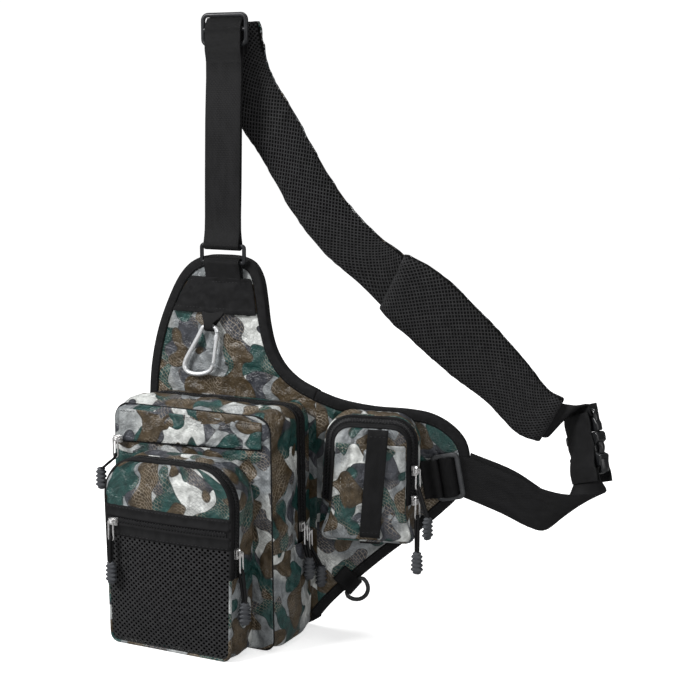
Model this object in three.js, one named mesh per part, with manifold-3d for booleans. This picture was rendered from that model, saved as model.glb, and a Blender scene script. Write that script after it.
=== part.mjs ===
// Tackle sling bag with a padded shoulder strap, a hip wing and pouches. Millimetres, +Z up, front toward -Y.
// It is built from the middle of the base and the back panel's face, then moved so the strap's top fold is the origin.
import * as THREE from "three";
import { mergeVertices } from "three/addons/utils/BufferGeometryUtils.js";
import Module from "manifold-3d";

const wasm = await Module();
wasm.setup();

// Driving dimensions
const GAP = 0.3;
const WALL = 1.6;
const WEBBING = { width: 38, thick: 1.6 };
const HANG = { x: -2, y: 3.8, z: 570.8 };
const PANEL = { thick: 6, skin: 1.1, bind: 9, seam: 92 };
const WING = { turn: 20 };
const MAIN = { bottomWidth: 170, topWidth: 166, height: 217, depth: 74, topRadius: 15, bottomRadius: 10, swell: 4 };
const MAIN_ZIP = { rear: 10, front: 25, end: 90, ramp: 3 };
const FLAP = { left: -77, right: 68, bottom: 185, top: 212, lift: 2.5 };
const POCKET = { middle: -1, bottomWidth: 128, topWidth: 134, height: 176, depth: 38, topRadius: 36, bottomRadius: 8 };
const POCKET_FRONT = { bulge: 5, bandBottom: 103, bandTop: 131 };
const POCKET_ZIP = { width: 12, end: 76, ramp: 3 };
const POUCH = {
  middle: 51.5, base: 95, bottomWidth: 90, topWidth: 85, height: 117, depth: 30, topRadius: 24, bottomRadius: 10, lean: 2,
};
const POUCH_FRONT = { inset: 9, footInset: 2, footTop: 128, bulge: 4 };
const POUCH_ZIP = { width: 9, end: 132, ramp: 3 };
const POUCH_STRIP = { middle: 57, width: 19 };
const RING = { x: -5, y: -6, z: 353.5, width: 50, height: 20, bar: 4 };
const GLIDE = { x: -2, y: -3, z: 560.5, width: 50, height: 31, bar: 4, window: 9.5, lean: 2 };
const PAD = { strapThick: 7, thick: 12 };
const BUCKLE = { x: 317.5, y: 109, z: 182, turn: -34, lean: 18, width: 48, thick: 11 };
const LADDER = { s: 122, y: -6, z: 152, width: 26, height: 45, bar: 4, window: 7, lean: 10 };
const CARABINER = { y: -6.5, top: 283, wire: 2, gate: 1.6, keeperX: -20, keeperWidth: 8, keeperFlare: 20 };
const D_RING = { s: 31, z: 47, y: -5.9, turn: -49.5, halfBar: 11.5, drop: 15, wire: 2, barZ: -4, tabWidth: 17 };
const CORNER_STEPS = 4;
const DEGREE = Math.PI / 180;

// Materials
const cloth = (color) => new THREE.MeshStandardMaterial({ color, roughness: 0.7 });
const MATERIALS = {
  camo: cloth(0x8d9296),
  black: cloth(0x1b1c1e),
  mesh: cloth(0x232427),
  plastic: new THREE.MeshStandardMaterial({ color: 0x34363a, roughness: 0.5 }),
  rubber: new THREE.MeshStandardMaterial({ color: 0x4a4c50, roughness: 0.8 }),
  metal: new THREE.MeshStandardMaterial({ color: 0xb9bcc0, metalness: 1, roughness: 0.3 }),
  ironware: new THREE.MeshStandardMaterial({ color: 0x2a2b2d, metalness: 0.6, roughness: 0.5 }),
};

// Geometry helpers
const point = (x, y, z) => new THREE.Vector3(x, y, z);
const flat = (x, z) => new THREE.Vector2(x, z);

// Triangles that close one ring by zigzag between its two ends; right for convex rings and for folded strips.
function zigzag(count, start) {
  const triangles = [];
  let low = 0;
  let high = count - 1;
  while (low < high - 1) {
    triangles.push([start + low, start + low + 1, start + high]);
    low += 1;
    if (low < high - 1) {
      triangles.push([start + low, start + high - 1, start + high]);
      high -= 1;
    }
  }
  return triangles;
}

// Triangles from a middle point to every edge of one ring, for outlines that bend inward.
function fan(count, start, middle) {
  return Array.from({ length: count }, (unused, i) => [start + i, start + ((i + 1) % count), middle]);
}

// Closed skin over a row of rings of equal length, with flat ends unless the row closes on itself.
function loft(rings, { closed = false, fanned = false } = {}) {
  const count = rings[0].length;
  const points = rings.flat();
  const triangles = [];
  const spans = closed ? rings.length : rings.length - 1;
  for (let r = 0; r < spans; r += 1) {
    const next = (r + 1) % rings.length;
    for (let i = 0; i < count; i += 1) {
      const j = (i + 1) % count;
      triangles.push([r * count + i, r * count + j, next * count + j]);
      triangles.push([r * count + i, next * count + j, next * count + i]);
    }
  }
  if (!closed) {
    const ends = [rings[0], rings[rings.length - 1]];
    const [first, last] = ends.map((ring, e) => {
      const start = e * (rings.length - 1) * count;
      if (!fanned) {
        return zigzag(count, start);
      }
      points.push(ring.reduce((sum, p) => sum.add(p), point(0, 0, 0)).divideScalar(count));
      return fan(count, start, points.length - 1);
    });
    first.forEach(([a, b, c]) => triangles.push([a, c, b]));
    triangles.push(...last);
  }
  return indexed(points, triangles);
}

// Geometry from points and triangles, turned so that its volume is positive.
function indexed(points, triangles) {
  let volume = 0;
  triangles.forEach(([a, b, c]) => {
    volume += points[a].dot(points[b].clone().cross(points[c]));
  });
  const order = volume < 0 ? triangles.map(([a, b, c]) => [a, c, b]) : triangles;
  const geometry = new THREE.BufferGeometry();
  geometry.setAttribute("position", new THREE.Float32BufferAttribute(points.flatMap((p) => p.toArray()), 3));
  geometry.setIndex(order.flat());
  return geometry;
}

// Solid for joins and cuts, and back.
function solid(geometry) {
  const bare = new THREE.BufferGeometry();
  bare.setAttribute("position", geometry.getAttribute("position"));
  bare.setIndex(geometry.getIndex());
  const merged = mergeVertices(bare, 1e-3);
  return new wasm.Manifold(new wasm.Mesh({
    numProp: 3,
    vertProperties: new Float32Array(merged.getAttribute("position").array),
    triVerts: new Uint32Array(merged.getIndex().array),
  }));
}

function fromSolid(body) {
  const mesh = body.getMesh();
  const geometry = new THREE.BufferGeometry();
  geometry.setAttribute("position", new THREE.Float32BufferAttribute(mesh.vertProperties, 3));
  geometry.setIndex(Array.from(mesh.triVerts));
  return geometry;
}

// Rounded outline in x and z, anticlockwise from the front, starting at the middle of the bottom.
function outline(size, stops = []) {
  const { middle = 0, base = 0, bottomWidth, topWidth, height, topRadius, bottomRadius } = size;
  const points = [];
  const low = base + bottomRadius;
  const high = base + height - topRadius;
  const halfAt = (z) => THREE.MathUtils.lerp(bottomWidth, topWidth, (z - low) / (high - low)) / 2;
  const corner = (side, z, radius, from) => {
    for (let k = 0; k <= CORNER_STEPS; k += 1) {
      const angle = from + (k / CORNER_STEPS) * (Math.PI / 2);
      const x = middle + side * (halfAt(z) - radius) + radius * Math.cos(angle);
      points.push(flat(x, z + radius * Math.sin(angle)));
    }
  };
  const rise = stops.filter((z) => z > low + 1 && z < high - 1);
  points.push(flat(middle, base));
  corner(1, low, bottomRadius, -Math.PI / 2);
  rise.forEach((z) => points.push(flat(middle + halfAt(z), z)));
  corner(1, high, topRadius, 0);
  points.push(flat(middle, base + height));
  corner(-1, high, topRadius, Math.PI / 2);
  [...rise].reverse().forEach((z) => points.push(flat(middle - halfAt(z), z)));
  corner(-1, low, bottomRadius, Math.PI);
  return points;
}

// Outward normals along a path in x and z that runs anticlockwise.
function normals(path, closed) {
  return path.map((p, i) => {
    const before = closed || i > 0 ? path[(i + path.length - 1) % path.length] : p;
    const after = closed || i < path.length - 1 ? path[(i + 1) % path.length] : p;
    const along = after.clone().sub(before).normalize();
    return flat(along.y, -along.x);
  });
}

const inset = (path, distance, closed = true) => {
  const out = normals(path, closed);
  return path.map((p, i) => p.clone().addScaledVector(out[i], -distance));
};

const atDepth = (path, y) => path.map((p, i) => point(p.x, typeof y === "function" ? y(p, i) : y, p.y));

// Cloth wall through rows of points that run round the same outline from back to front.
function wall(rows, thick, closed = true, out = null) {
  const inner = rows.map((row) => {
    const path = row.map((p) => flat(p.x, p.z));
    const away = out || normals(path, closed);
    return path.map((p, i) => point(p.x - thick * away[i].x, row[i].y, p.y - thick * away[i].y));
  });
  const rings = rows[0].map((unused, i) => [...rows.map((row) => row[i]), ...inner.map((row) => row[i]).reverse()]);
  return loft(rings, { closed });
}

// Cloth panel that swells toward its middle.
const SWELL_LEVELS = [
  { share: 0.3, lift: 1 },
  { share: 0.65, lift: 0.8 },
  { share: 0.88, lift: 0.4 },
  { share: 1, lift: 0 },
];

function swollenPanel(path, centre, y, bulge, thick) {
  const ring = ({ share, lift }, depth) => path.map((p) => point(
    centre.x + (p.x - centre.x) * share,
    depth - lift * bulge,
    centre.y + (p.y - centre.y) * share,
  ));
  const front = SWELL_LEVELS.map((level) => ring(level, y - thick));
  const rear = [...SWELL_LEVELS].reverse().map((level) => ring(level, y));
  return loft([...front, ...rear]);
}

// Ribbon or padded strap through rows of centre and half-across vector; shift moves it along its normal.
const FLAT_SECTION = [
  { a: 1, n: 1 },
  { a: -1, n: 1 },
  { a: -1, n: -1 },
  { a: 1, n: -1 },
];
const PAD_SECTION = [
  { a: 1, n: 0.3 },
  { a: 0.88, n: 0.8 },
  { a: 0.5, n: 1 },
  { a: -0.5, n: 1 },
  { a: -0.88, n: 0.8 },
  { a: -1, n: 0.3 },
  { a: -1, n: -0.3 },
  { a: -0.88, n: -0.8 },
  { a: -0.5, n: -1 },
  { a: 0.5, n: -1 },
  { a: 0.88, n: -0.8 },
  { a: 1, n: -0.3 },
];

function strap(rows, thick, { section = FLAT_SECTION, substeps = 1, shift = 0 } = {}) {
  const centres = new THREE.CatmullRomCurve3(rows.map((r) => point(r.x, r.y, r.z)));
  const halves = new THREE.CatmullRomCurve3(rows.map((r) => point(r.ax, r.ay, r.az)));
  const steps = (rows.length - 1) * substeps;
  const along = Array.from({ length: steps + 1 }, (unused, i) => centres.getPoint(i / steps));
  const rings = along.map((centre, i) => {
    const half = halves.getPoint(i / steps);
    const tangent = along[Math.min(i + 1, steps)].clone().sub(along[Math.max(i - 1, 0)]);
    const normal = tangent.cross(half).normalize();
    return section.map(({ a, n }) => centre.clone()
      .addScaledVector(half, a)
      .addScaledVector(normal, shift + (n * thick) / 2));
  });
  return loft(rings);
}

// Round bar through points of one plane.
function bar(path, radius, planeNormal, closed = false, sides = 8) {
  const rings = path.map((p, i) => {
    const before = closed || i > 0 ? path[(i + path.length - 1) % path.length] : p;
    const after = closed || i < path.length - 1 ? path[(i + 1) % path.length] : p;
    const inPlane = after.clone().sub(before).normalize().cross(planeNormal);
    return Array.from({ length: sides }, (unused, k) => {
      const angle = (k / sides) * Math.PI * 2;
      return p.clone()
        .addScaledVector(inPlane, radius * Math.cos(angle))
        .addScaledVector(planeNormal, radius * Math.sin(angle));
    });
  });
  return loft(rings, { closed });
}

// Rounded rectangle as a shape or a hole, about its middle.
function roundedShape(Kind, width, height, radius, middle = flat(0, 0)) {
  const shape = new Kind();
  const [w, h] = [width / 2 - radius, height / 2 - radius];
  shape.absarc(middle.x + w, middle.y - h, radius, -Math.PI / 2, 0);
  shape.absarc(middle.x + w, middle.y + h, radius, 0, Math.PI / 2);
  shape.absarc(middle.x - w, middle.y + h, radius, Math.PI / 2, Math.PI);
  shape.absarc(middle.x - w, middle.y - h, radius, Math.PI, Math.PI * 1.5);
  shape.closePath();
  return shape;
}

// Plate of a shape drawn in x and z, centred on y, with small bevels.
function plate(shape, thick, bevel) {
  const geometry = new THREE.ExtrudeGeometry(shape, {
    depth: thick - 2 * bevel,
    bevelEnabled: bevel > 0,
    bevelThickness: bevel,
    bevelSize: bevel,
    bevelOffset: -bevel,
    bevelSegments: 1,
    curveSegments: 3,
  });
  geometry.translate(0, 0, -(thick / 2 - bevel));
  geometry.rotateX(Math.PI / 2);
  return geometry;
}

// Group helpers
const bag = new THREE.Group();
bag.name = "tackle_bag";
bag.position.set(-HANG.x, -HANG.y, -HANG.z);
const wing = new THREE.Group();
wing.position.set(PANEL.seam, 0, 0);
wing.rotation.z = WING.turn * DEGREE;
bag.add(wing);

function add(parent, name, geometry, material) {
  const mesh = new THREE.Mesh(geometry, MATERIALS[material]);
  mesh.name = name;
  parent.add(mesh);
  return mesh;
}

// Back panel and hip wing
// Both are drawn by their bound edge, clockwise in the table, which starts and ends at the seam between them.
const BACK_EDGE = [
  { x: 92, z: 9 }, { x: 82, z: 3 }, { x: 66, z: 0 }, { x: 0, z: 0 }, { x: -68, z: 0 }, { x: -84, z: 4 },
  { x: -92, z: 15 }, { x: -94, z: 50 }, { x: -94, z: 120 }, { x: -94, z: 200 }, { x: -91, z: 240 },
  { x: -83, z: 275 }, { x: -71, z: 305 }, { x: -57, z: 330 }, { x: -44, z: 343 }, { x: -28, z: 350 },
  { x: -8, z: 351.5 }, { x: 12, z: 350.5 }, { x: 25, z: 345 }, { x: 33, z: 332 }, { x: 37, z: 311 },
  { x: 40, z: 288 }, { x: 46, z: 266 }, { x: 56, z: 250 }, { x: 71, z: 238 }, { x: 92, z: 229 },
];
const WING_EDGE = [
  { x: 0, z: 229 }, { x: 21, z: 221 }, { x: 53, z: 215 }, { x: 86, z: 213 }, { x: 107, z: 209 }, { x: 125, z: 199 },
  { x: 138, z: 184 }, { x: 142, z: 163 }, { x: 135, z: 137 }, { x: 115, z: 115 }, { x: 87, z: 91 },
  { x: 59, z: 68 }, { x: 30, z: 42 }, { x: 12, z: 24 }, { x: 0, z: 9 },
];
const MITRE = Math.tan((WING.turn / 2) * DEGREE);

function smoothEdge(table, substeps) {
  const curve = new THREE.CatmullRomCurve3(table.map(({ x, z }) => point(x, 0, z)));
  return curve.getPoints((table.length - 1) * substeps).map((p) => flat(p.x, p.z)).reverse();
}

// Row of the edge moved inward; its two ends stay on the mitred seam.
function seamRow(edge, distance, y, seamX, away) {
  const out = normals(edge, false);
  const last = edge.length - 1;
  const endX = seamX + away * (GAP / 2 + y * MITRE);
  const row = edge.map((p, i) => {
    if (i === 0 || i === last) {
      return point(endX, y, p.y - distance / out[i].y);
    }
    return point(p.x - distance * out[i].x, y, p.y - distance * out[i].y);
  });
  [[0, 1, 2], [last, last - 1, last - 2]].forEach(([end, next, third]) => {
    if (away * (row[next].x - endX) < GAP) {
      row[next].lerpVectors(row[end], row[third], 0.5);
    }
  });
  return row;
}

function boundPanel(parent, edge, seamX, away, names, material) {
  const { thick, skin, bind } = PANEL;
  const row = (distance, y) => seamRow(edge, distance, y, seamX, away);
  const step = bind + GAP;
  const tuck = skin + GAP;
  const panelRows = [
    row(step, -skin), row(step, 0), row(tuck, 0), row(tuck, thick), row(step, thick), row(step, thick + skin),
  ];
  add(parent, names.panel, loft(panelRows, { fanned: true }), material);
  const tape = [
    row(bind, -skin), row(0, -skin), row(0, thick + skin), row(bind, thick + skin),
    row(bind, thick + GAP), row(skin, thick + GAP), row(skin, -GAP), row(bind, -GAP),
  ];
  add(parent, names.binding, loft(edge.map((unused, i) => tape.map((line) => line[i]))), "black");
}

const PANEL_FACE = -PANEL.skin - GAP;
boundPanel(bag, smoothEdge(BACK_EDGE, 2), PANEL.seam, -1, { panel: "back_panel", binding: "panel_binding" }, "camo");
boundPanel(wing, smoothEdge(WING_EDGE, 2), 0, 1, { panel: "hip_wing", binding: "wing_binding" }, "camo");

// Neck reinforcement
const REINFORCEMENT = { thick: 3, top: 331, middle: 314, bottom: 296 };
const NECK_PATCH = [
  { x: -64, z: REINFORCEMENT.bottom }, { x: 28.5, z: REINFORCEMENT.bottom }, { x: 26.5, z: REINFORCEMENT.middle },
  { x: 23, z: REINFORCEMENT.top }, { x: -42.5, z: REINFORCEMENT.top }, { x: -54.5, z: REINFORCEMENT.middle },
];
add(bag, "neck_reinforcement", loft([PANEL_FACE, PANEL_FACE - REINFORCEMENT.thick].map(
  (y) => NECK_PATCH.map(({ x, z }) => point(x, y, z)),
)), "black");

// Main compartment
const mainStops = [MAIN_ZIP.end - MAIN_ZIP.ramp, MAIN_ZIP.end, MAIN_ZIP.end + GAP, 120, 160];
const mainPath = outline(MAIN, mainStops);
const mainSwollen = inset(mainPath, -MAIN.swell).map((p) => flat(p.x, Math.max(p.y, 0)));
const MAIN_FRONT = -MAIN.depth;
const aboveMainZip = (p) => p.y >= MAIN_ZIP.end - GAP;
const gussetRear = (p) => (aboveMainZip(p) ? -MAIN_ZIP.front - GAP : PANEL_FACE);
add(bag, "main_gusset", wall([
  atDepth(mainPath, (p) => gussetRear(p)),
  mainSwollen.map((p, i) => point(p.x, (MAIN_FRONT + gussetRear(mainPath[i])) / 2, p.y)),
  atDepth(mainPath, MAIN_FRONT),
], WALL), "camo");
const mainArch = mainPath.filter((p) => p.y > MAIN_ZIP.end + GAP / 2);
add(bag, "main_zip", wall([atDepth(mainArch, -MAIN_ZIP.rear), atDepth(mainArch, -MAIN_ZIP.front)], WALL, false), "black");
add(bag, "rear_gusset", wall([
  atDepth(mainArch, PANEL_FACE), atDepth(mainArch, -MAIN_ZIP.rear + GAP),
], WALL, false), "camo");
add(bag, "main_front", loft([
  atDepth(mainPath, MAIN_FRONT - GAP), atDepth(mainPath, MAIN_FRONT - GAP - WALL),
]), "camo");

// Storm flap over the slit pocket
const FRONT_FACE = MAIN_FRONT - 2 * GAP - WALL;
const FLAP_COLUMNS = 8;
const flapRing = (z, y) => {
  const columns = Array.from({ length: FLAP_COLUMNS + 1 }, (unused, i) => i / FLAP_COLUMNS);
  const line = (depth) => columns.map((u) => point(
    THREE.MathUtils.lerp(FLAP.left, FLAP.right, u), depth, z + (u - 0.5) * 6 * (FLAP.top - z) / (FLAP.top - FLAP.bottom),
  ));
  return [...line(y), ...line(y - WALL).reverse()];
};
add(bag, "front_flap", loft([
  flapRing(FLAP.top, FRONT_FACE),
  flapRing((FLAP.top + FLAP.bottom) / 2, FRONT_FACE - FLAP.lift * 0.7),
  flapRing(FLAP.bottom, FRONT_FACE - FLAP.lift),
]), "camo");

// Front pocket
const POCKET_REAR = FRONT_FACE;
const POCKET_EDGE = POCKET_REAR - POCKET.depth;
const pocketStops = [40, POCKET_ZIP.end - POCKET_ZIP.ramp, POCKET_ZIP.end, POCKET_ZIP.end + GAP, 110];
const pocketPath = outline(POCKET, pocketStops);
const abovePocketZip = (p) => p.y >= POCKET_ZIP.end - GAP;
add(bag, "pocket_gusset", wall([
  atDepth(pocketPath, POCKET_REAR),
  atDepth(pocketPath, (p) => (abovePocketZip(p) ? POCKET_EDGE + POCKET_ZIP.width + GAP : POCKET_EDGE)),
], WALL), "camo");
const pocketArch = pocketPath.filter((p) => p.y > POCKET_ZIP.end + GAP / 2);
add(bag, "pocket_zip", wall([
  atDepth(pocketArch, POCKET_EDGE + POCKET_ZIP.width), atDepth(pocketArch, POCKET_EDGE),
], WALL, false), "black");

// The pocket's front is one swollen surface in three pieces: mesh, zip band and cloth.
const pocketHalf = (z) => {
  const low = POCKET.bottomRadius;
  const high = POCKET.height - POCKET.topRadius;
  const straight = THREE.MathUtils.lerp(POCKET.bottomWidth, POCKET.topWidth, (z - low) / (high - low)) / 2;
  const into = z < low ? low - z : Math.max(z - high, 0);
  const radius = z < low ? POCKET.bottomRadius : POCKET.topRadius;
  const side = z > high ? POCKET.topWidth / 2 : straight;
  return side - radius + Math.sqrt(Math.max(radius * radius - into * into, 0));
};
const pocketSurface = (x, z) => {
  const u = (x - POCKET.middle) / (POCKET.topWidth / 2);
  const v = (z - POCKET.height / 2) / (POCKET.height / 2);
  return POCKET_EDGE - GAP - WALL - POCKET_FRONT.bulge * Math.max(1 - u * u, 0) * Math.max(1 - v * v, 0);
};
const POCKET_COLUMNS = 10;
function pocketPiece(levels) {
  const rings = levels.map((z) => {
    const half = pocketHalf(z);
    const xs = Array.from({ length: POCKET_COLUMNS + 1 }, (unused, i) => POCKET.middle + half * ((2 * i) / POCKET_COLUMNS - 1));
    const front = xs.map((x) => point(x, pocketSurface(x, z), z));
    return [...front, ...front.map((p) => point(p.x, p.y + WALL, p.z)).reverse()];
  });
  return loft(rings);
}
add(bag, "pocket_mesh", pocketPiece([1, 8, 40, 72, POCKET_FRONT.bandBottom - GAP]), "mesh");
add(bag, "pocket_band", pocketPiece([POCKET_FRONT.bandBottom, 117, POCKET_FRONT.bandTop]), "black");
add(bag, "pocket_front", pocketPiece([POCKET_FRONT.bandTop + GAP, 140, 152, 162, 169, 174]), "camo");

// Side pouch on the wing, leaning a little about its middle
const pouchCentre = flat(POUCH.middle, POUCH.base + POUCH.height / 2);
const pouch = new THREE.Group();
pouch.rotation.y = POUCH.lean * DEGREE;
pouch.position.set(pouchCentre.x, 0, pouchCentre.y)
  .sub(point(pouchCentre.x, 0, pouchCentre.y).applyEuler(pouch.rotation));
wing.add(pouch);
const pouchStops = [POUCH_ZIP.end - POUCH_ZIP.ramp, POUCH_ZIP.end, POUCH_ZIP.end + 2 * GAP, 160];
const pouchPath = outline(POUCH, pouchStops);
const POUCH_EDGE = PANEL_FACE - POUCH.depth;
const pouchZipRear = POUCH_EDGE + POUCH_ZIP.width;
// The front is narrower than the band, except at its foot.
const pouchOut = normals(pouchPath, true);
const pouchFrontPath = pouchPath.map((p, i) => {
  const rise = THREE.MathUtils.smoothstep(p.y, POUCH.base, POUCH_FRONT.footTop);
  return p.clone().addScaledVector(pouchOut[i], -THREE.MathUtils.lerp(POUCH_FRONT.footInset, POUCH_FRONT.inset, rise));
});
const pouchAt = (y) => {
  const share = Math.max(pouchZipRear - y, 0) / POUCH_ZIP.width;
  return pouchPath.map((p, i) => {
    const q = p.clone().lerp(pouchFrontPath[i], share);
    return point(q.x, y, q.y);
  });
};
const abovePouchZip = pouchPath.map((p) => p.y >= POUCH_ZIP.end - GAP);
const pouchTop = pouchPath.map((p) => p.y > POUCH_ZIP.end + GAP);
const behindZip = pouchAt(pouchZipRear + GAP);
const pouchEdgeRow = pouchAt(POUCH_EDGE);
add(pouch, "pouch_gusset", wall([
  pouchAt(PANEL_FACE), behindZip, pouchEdgeRow.map((p, i) => (abovePouchZip[i] ? behindZip[i] : p)),
], WALL, true, pouchOut), "camo");
const ofPouchTop = (unused, i) => pouchTop[i];
add(pouch, "pouch_zip", wall([
  pouchAt(pouchZipRear).filter(ofPouchTop), pouchEdgeRow.filter(ofPouchTop),
], WALL, false, pouchOut.filter(ofPouchTop)), "black");
add(pouch, "pouch_front", swollenPanel(pouchFrontPath, pouchCentre, POUCH_EDGE - GAP, POUCH_FRONT.bulge, WALL), "camo");
const stripEnd = { share: 0.97, lift: 0.1 };
const stripLevels = [...SWELL_LEVELS.slice(0, -1), stripEnd];
const stripRow = ({ share, lift }, side) => ({
  x: POUCH_STRIP.middle,
  y: POUCH_EDGE - WALL - 3 * GAP - WEBBING.thick / 2 - lift * POUCH_FRONT.bulge,
  z: pouchCentre.y + side * share * (POUCH.height / 2 - POUCH_FRONT.footInset),
  ax: POUCH_STRIP.width / 2,
  ay: 0,
  az: 0,
});
add(pouch, "pouch_strip", strap([
  ...[...stripLevels].reverse().map((level) => stripRow(level, 1)), ...stripLevels.map((level) => stripRow(level, -1)),
], WEBBING.thick), "black");

// Rectangular ring, neck loop and upper strap
const ringShape = roundedShape(THREE.Shape, RING.width, RING.height, 3);
ringShape.holes.push(roundedShape(THREE.Path, RING.width - 2 * RING.bar, RING.height - 2 * RING.bar, 1.2));
const ring = add(bag, "neck_ring", plate(ringShape, RING.bar, 0.6), "plastic");
ring.position.set(RING.x, RING.y, RING.z);

const WRAP = RING.bar / 2 + 0.9 + WEBBING.thick / 2;
const BAR_RISE = (RING.height - RING.bar) / 2;
// Half circle in y and z round a bar, from the back to the front over (1) or under (-1) it.
function wrap(y, z, radius, side) {
  return Array.from({ length: 7 }, (unused, k) => {
    const angle = (k / 6) * Math.PI;
    return { y: y + radius * Math.cos(angle), z: z + side * radius * Math.sin(angle) };
  });
}
const acrossX = (path, x, width) => path.map((p) => ({ x, ax: width / 2, ay: 0, az: 0, ...p }));
const LOOP_END = REINFORCEMENT.top + 3 * GAP;
add(bag, "neck_loop", strap(acrossX([
  { y: PANEL_FACE - WEBBING.thick / 2, z: LOOP_END },
  ...wrap(RING.y, RING.z - BAR_RISE, WRAP, 1),
  { y: RING.y - WRAP + 1.2, z: RING.z - RING.height / 2 - 2 },
  { y: PANEL_FACE - WEBBING.thick * 1.5 - GAP, z: LOOP_END },
], RING.x, WEBBING.width), WEBBING.thick), "black");

const GLIDE_BOTTOM = GLIDE.z - GLIDE.height / 2;
const strapX = (z) => THREE.MathUtils.lerp(RING.x, GLIDE.x, (z - RING.z) / (GLIDE.z - RING.z));
const upperRows = [
  { y: GLIDE.y + GLIDE.bar / 2 + GAP + WEBBING.thick / 2, z: GLIDE_BOTTOM + GLIDE.bar },
  { y: GLIDE.y + GLIDE.bar / 2 + GAP + WEBBING.thick / 2, z: GLIDE_BOTTOM - 3 },
  { y: GLIDE.y + 1.1, z: GLIDE_BOTTOM - 14 },
  { y: RING.y + 1.1, z: RING.z + BAR_RISE + 14 },
  ...wrap(RING.y, RING.z + BAR_RISE, WRAP, -1),
  { y: RING.y - 1.1, z: RING.z + BAR_RISE + 14 },
  { y: GLIDE.y - 1.1, z: GLIDE_BOTTOM - 14 },
  { y: GLIDE.y - GLIDE.bar / 2 - GAP - WEBBING.thick / 2 - 0.3, z: GLIDE_BOTTOM - 3 },
  { y: GLIDE.y - GLIDE.bar / 2 - GAP - WEBBING.thick / 2 - 0.3, z: GLIDE_BOTTOM + GLIDE.bar },
  { y: GLIDE.y, z: GLIDE_BOTTOM + GLIDE.bar + GLIDE.window / 2 },
];
add(bag, "upper_strap", strap(
  acrossX(upperRows, 0, WEBBING.width).map((row) => ({ ...row, x: strapX(row.z) })), WEBBING.thick,
), "black");

const glideShape = roundedShape(THREE.Shape, GLIDE.width, GLIDE.height, 4);
const windowRise = (GLIDE.bar + GLIDE.window) / 2;
[1, -1].forEach((side) => glideShape.holes.push(
  roundedShape(THREE.Path, GLIDE.width - 2 * GLIDE.bar, GLIDE.window, 1.2, flat(0, side * windowRise)),
));
const glide = add(bag, "strap_slider", plate(glideShape, GLIDE.bar, 0.6), "plastic");
glide.position.set(GLIDE.x, GLIDE.y, GLIDE.z);

// The bridge runs behind the slider, over the top fold and down the padded strap's face.
const BRIDGE = { front: 0.2, back: 7.4, top: 568, start: 551, end: 552 };
const foldRadius = (BRIDGE.back - BRIDGE.front) / 2;
add(bag, "strap_bridge", strap(acrossX([
  { y: BRIDGE.back, z: BRIDGE.end },
  ...wrap(BRIDGE.front + foldRadius, BRIDGE.top, foldRadius, 1),
  { y: BRIDGE.front, z: BRIDGE.start },
], GLIDE.x, WEBBING.width), WEBBING.thick), "black");

// Padded shoulder strap and wide pad
const SHOULDER_ROWS = [
  { x: 1, y: 12.6, z: 569, ax: 25, ay: 0, az: 0 },
  { x: 3, y: 13.2, z: 548, ax: 26, ay: 2, az: 3 },
  { x: 9, y: 14.8, z: 520, ax: 23, ay: 5, az: 11 },
  { x: 22, y: 17.7, z: 491, ax: 19, ay: 5.3, az: 19 },
  { x: 37, y: 21.5, z: 468, ax: 18, ay: 5.2, az: 20 },
  { x: 67.6, y: 30.5, z: 412, ax: 18.5, ay: 5.3, az: 18.4 },
  { x: 87, y: 36, z: 384, ax: 20, ay: 5.8, az: 16 },
  { x: 108, y: 42, z: 361, ax: 21, ay: 6, az: 14.7 },
  { x: 131, y: 48.7, z: 341.5, ax: 15, ay: 4.3, az: 20 },
  { x: 141.8, y: 51.8, z: 330.9, ax: 11.5, ay: 3.3, az: 24.6 },
];
const PAD_ROWS = [
  { x: 142.5, y: 52, z: 330.2, ax: 12, ay: 3.4, az: 27 },
  { x: 160.7, y: 57.2, z: 316.4, ax: 17, ay: 4.9, az: 29.6 },
  { x: 177.3, y: 62, z: 302.8, ax: 18, ay: 5.1, az: 29.9 },
  { x: 216.2, y: 73.1, z: 266, ax: 19.3, ay: 5.5, az: 26.2 },
  { x: 248, y: 82.3, z: 236, ax: 18.4, ay: 5.3, az: 21 },
  { x: 272, y: 89, z: 209, ax: 14.5, ay: 4.2, az: 22 },
  { x: 290, y: 94.2, z: 201, ax: 11.5, ay: 3.3, az: 21.4 },
];
add(bag, "shoulder_strap", strap(SHOULDER_ROWS, PAD.strapThick, { section: PAD_SECTION, substeps: 2 }), "mesh");
add(bag, "shoulder_pad", strap(PAD_ROWS, PAD.thick, { section: PAD_SECTION, substeps: 2 }), "mesh");

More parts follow.
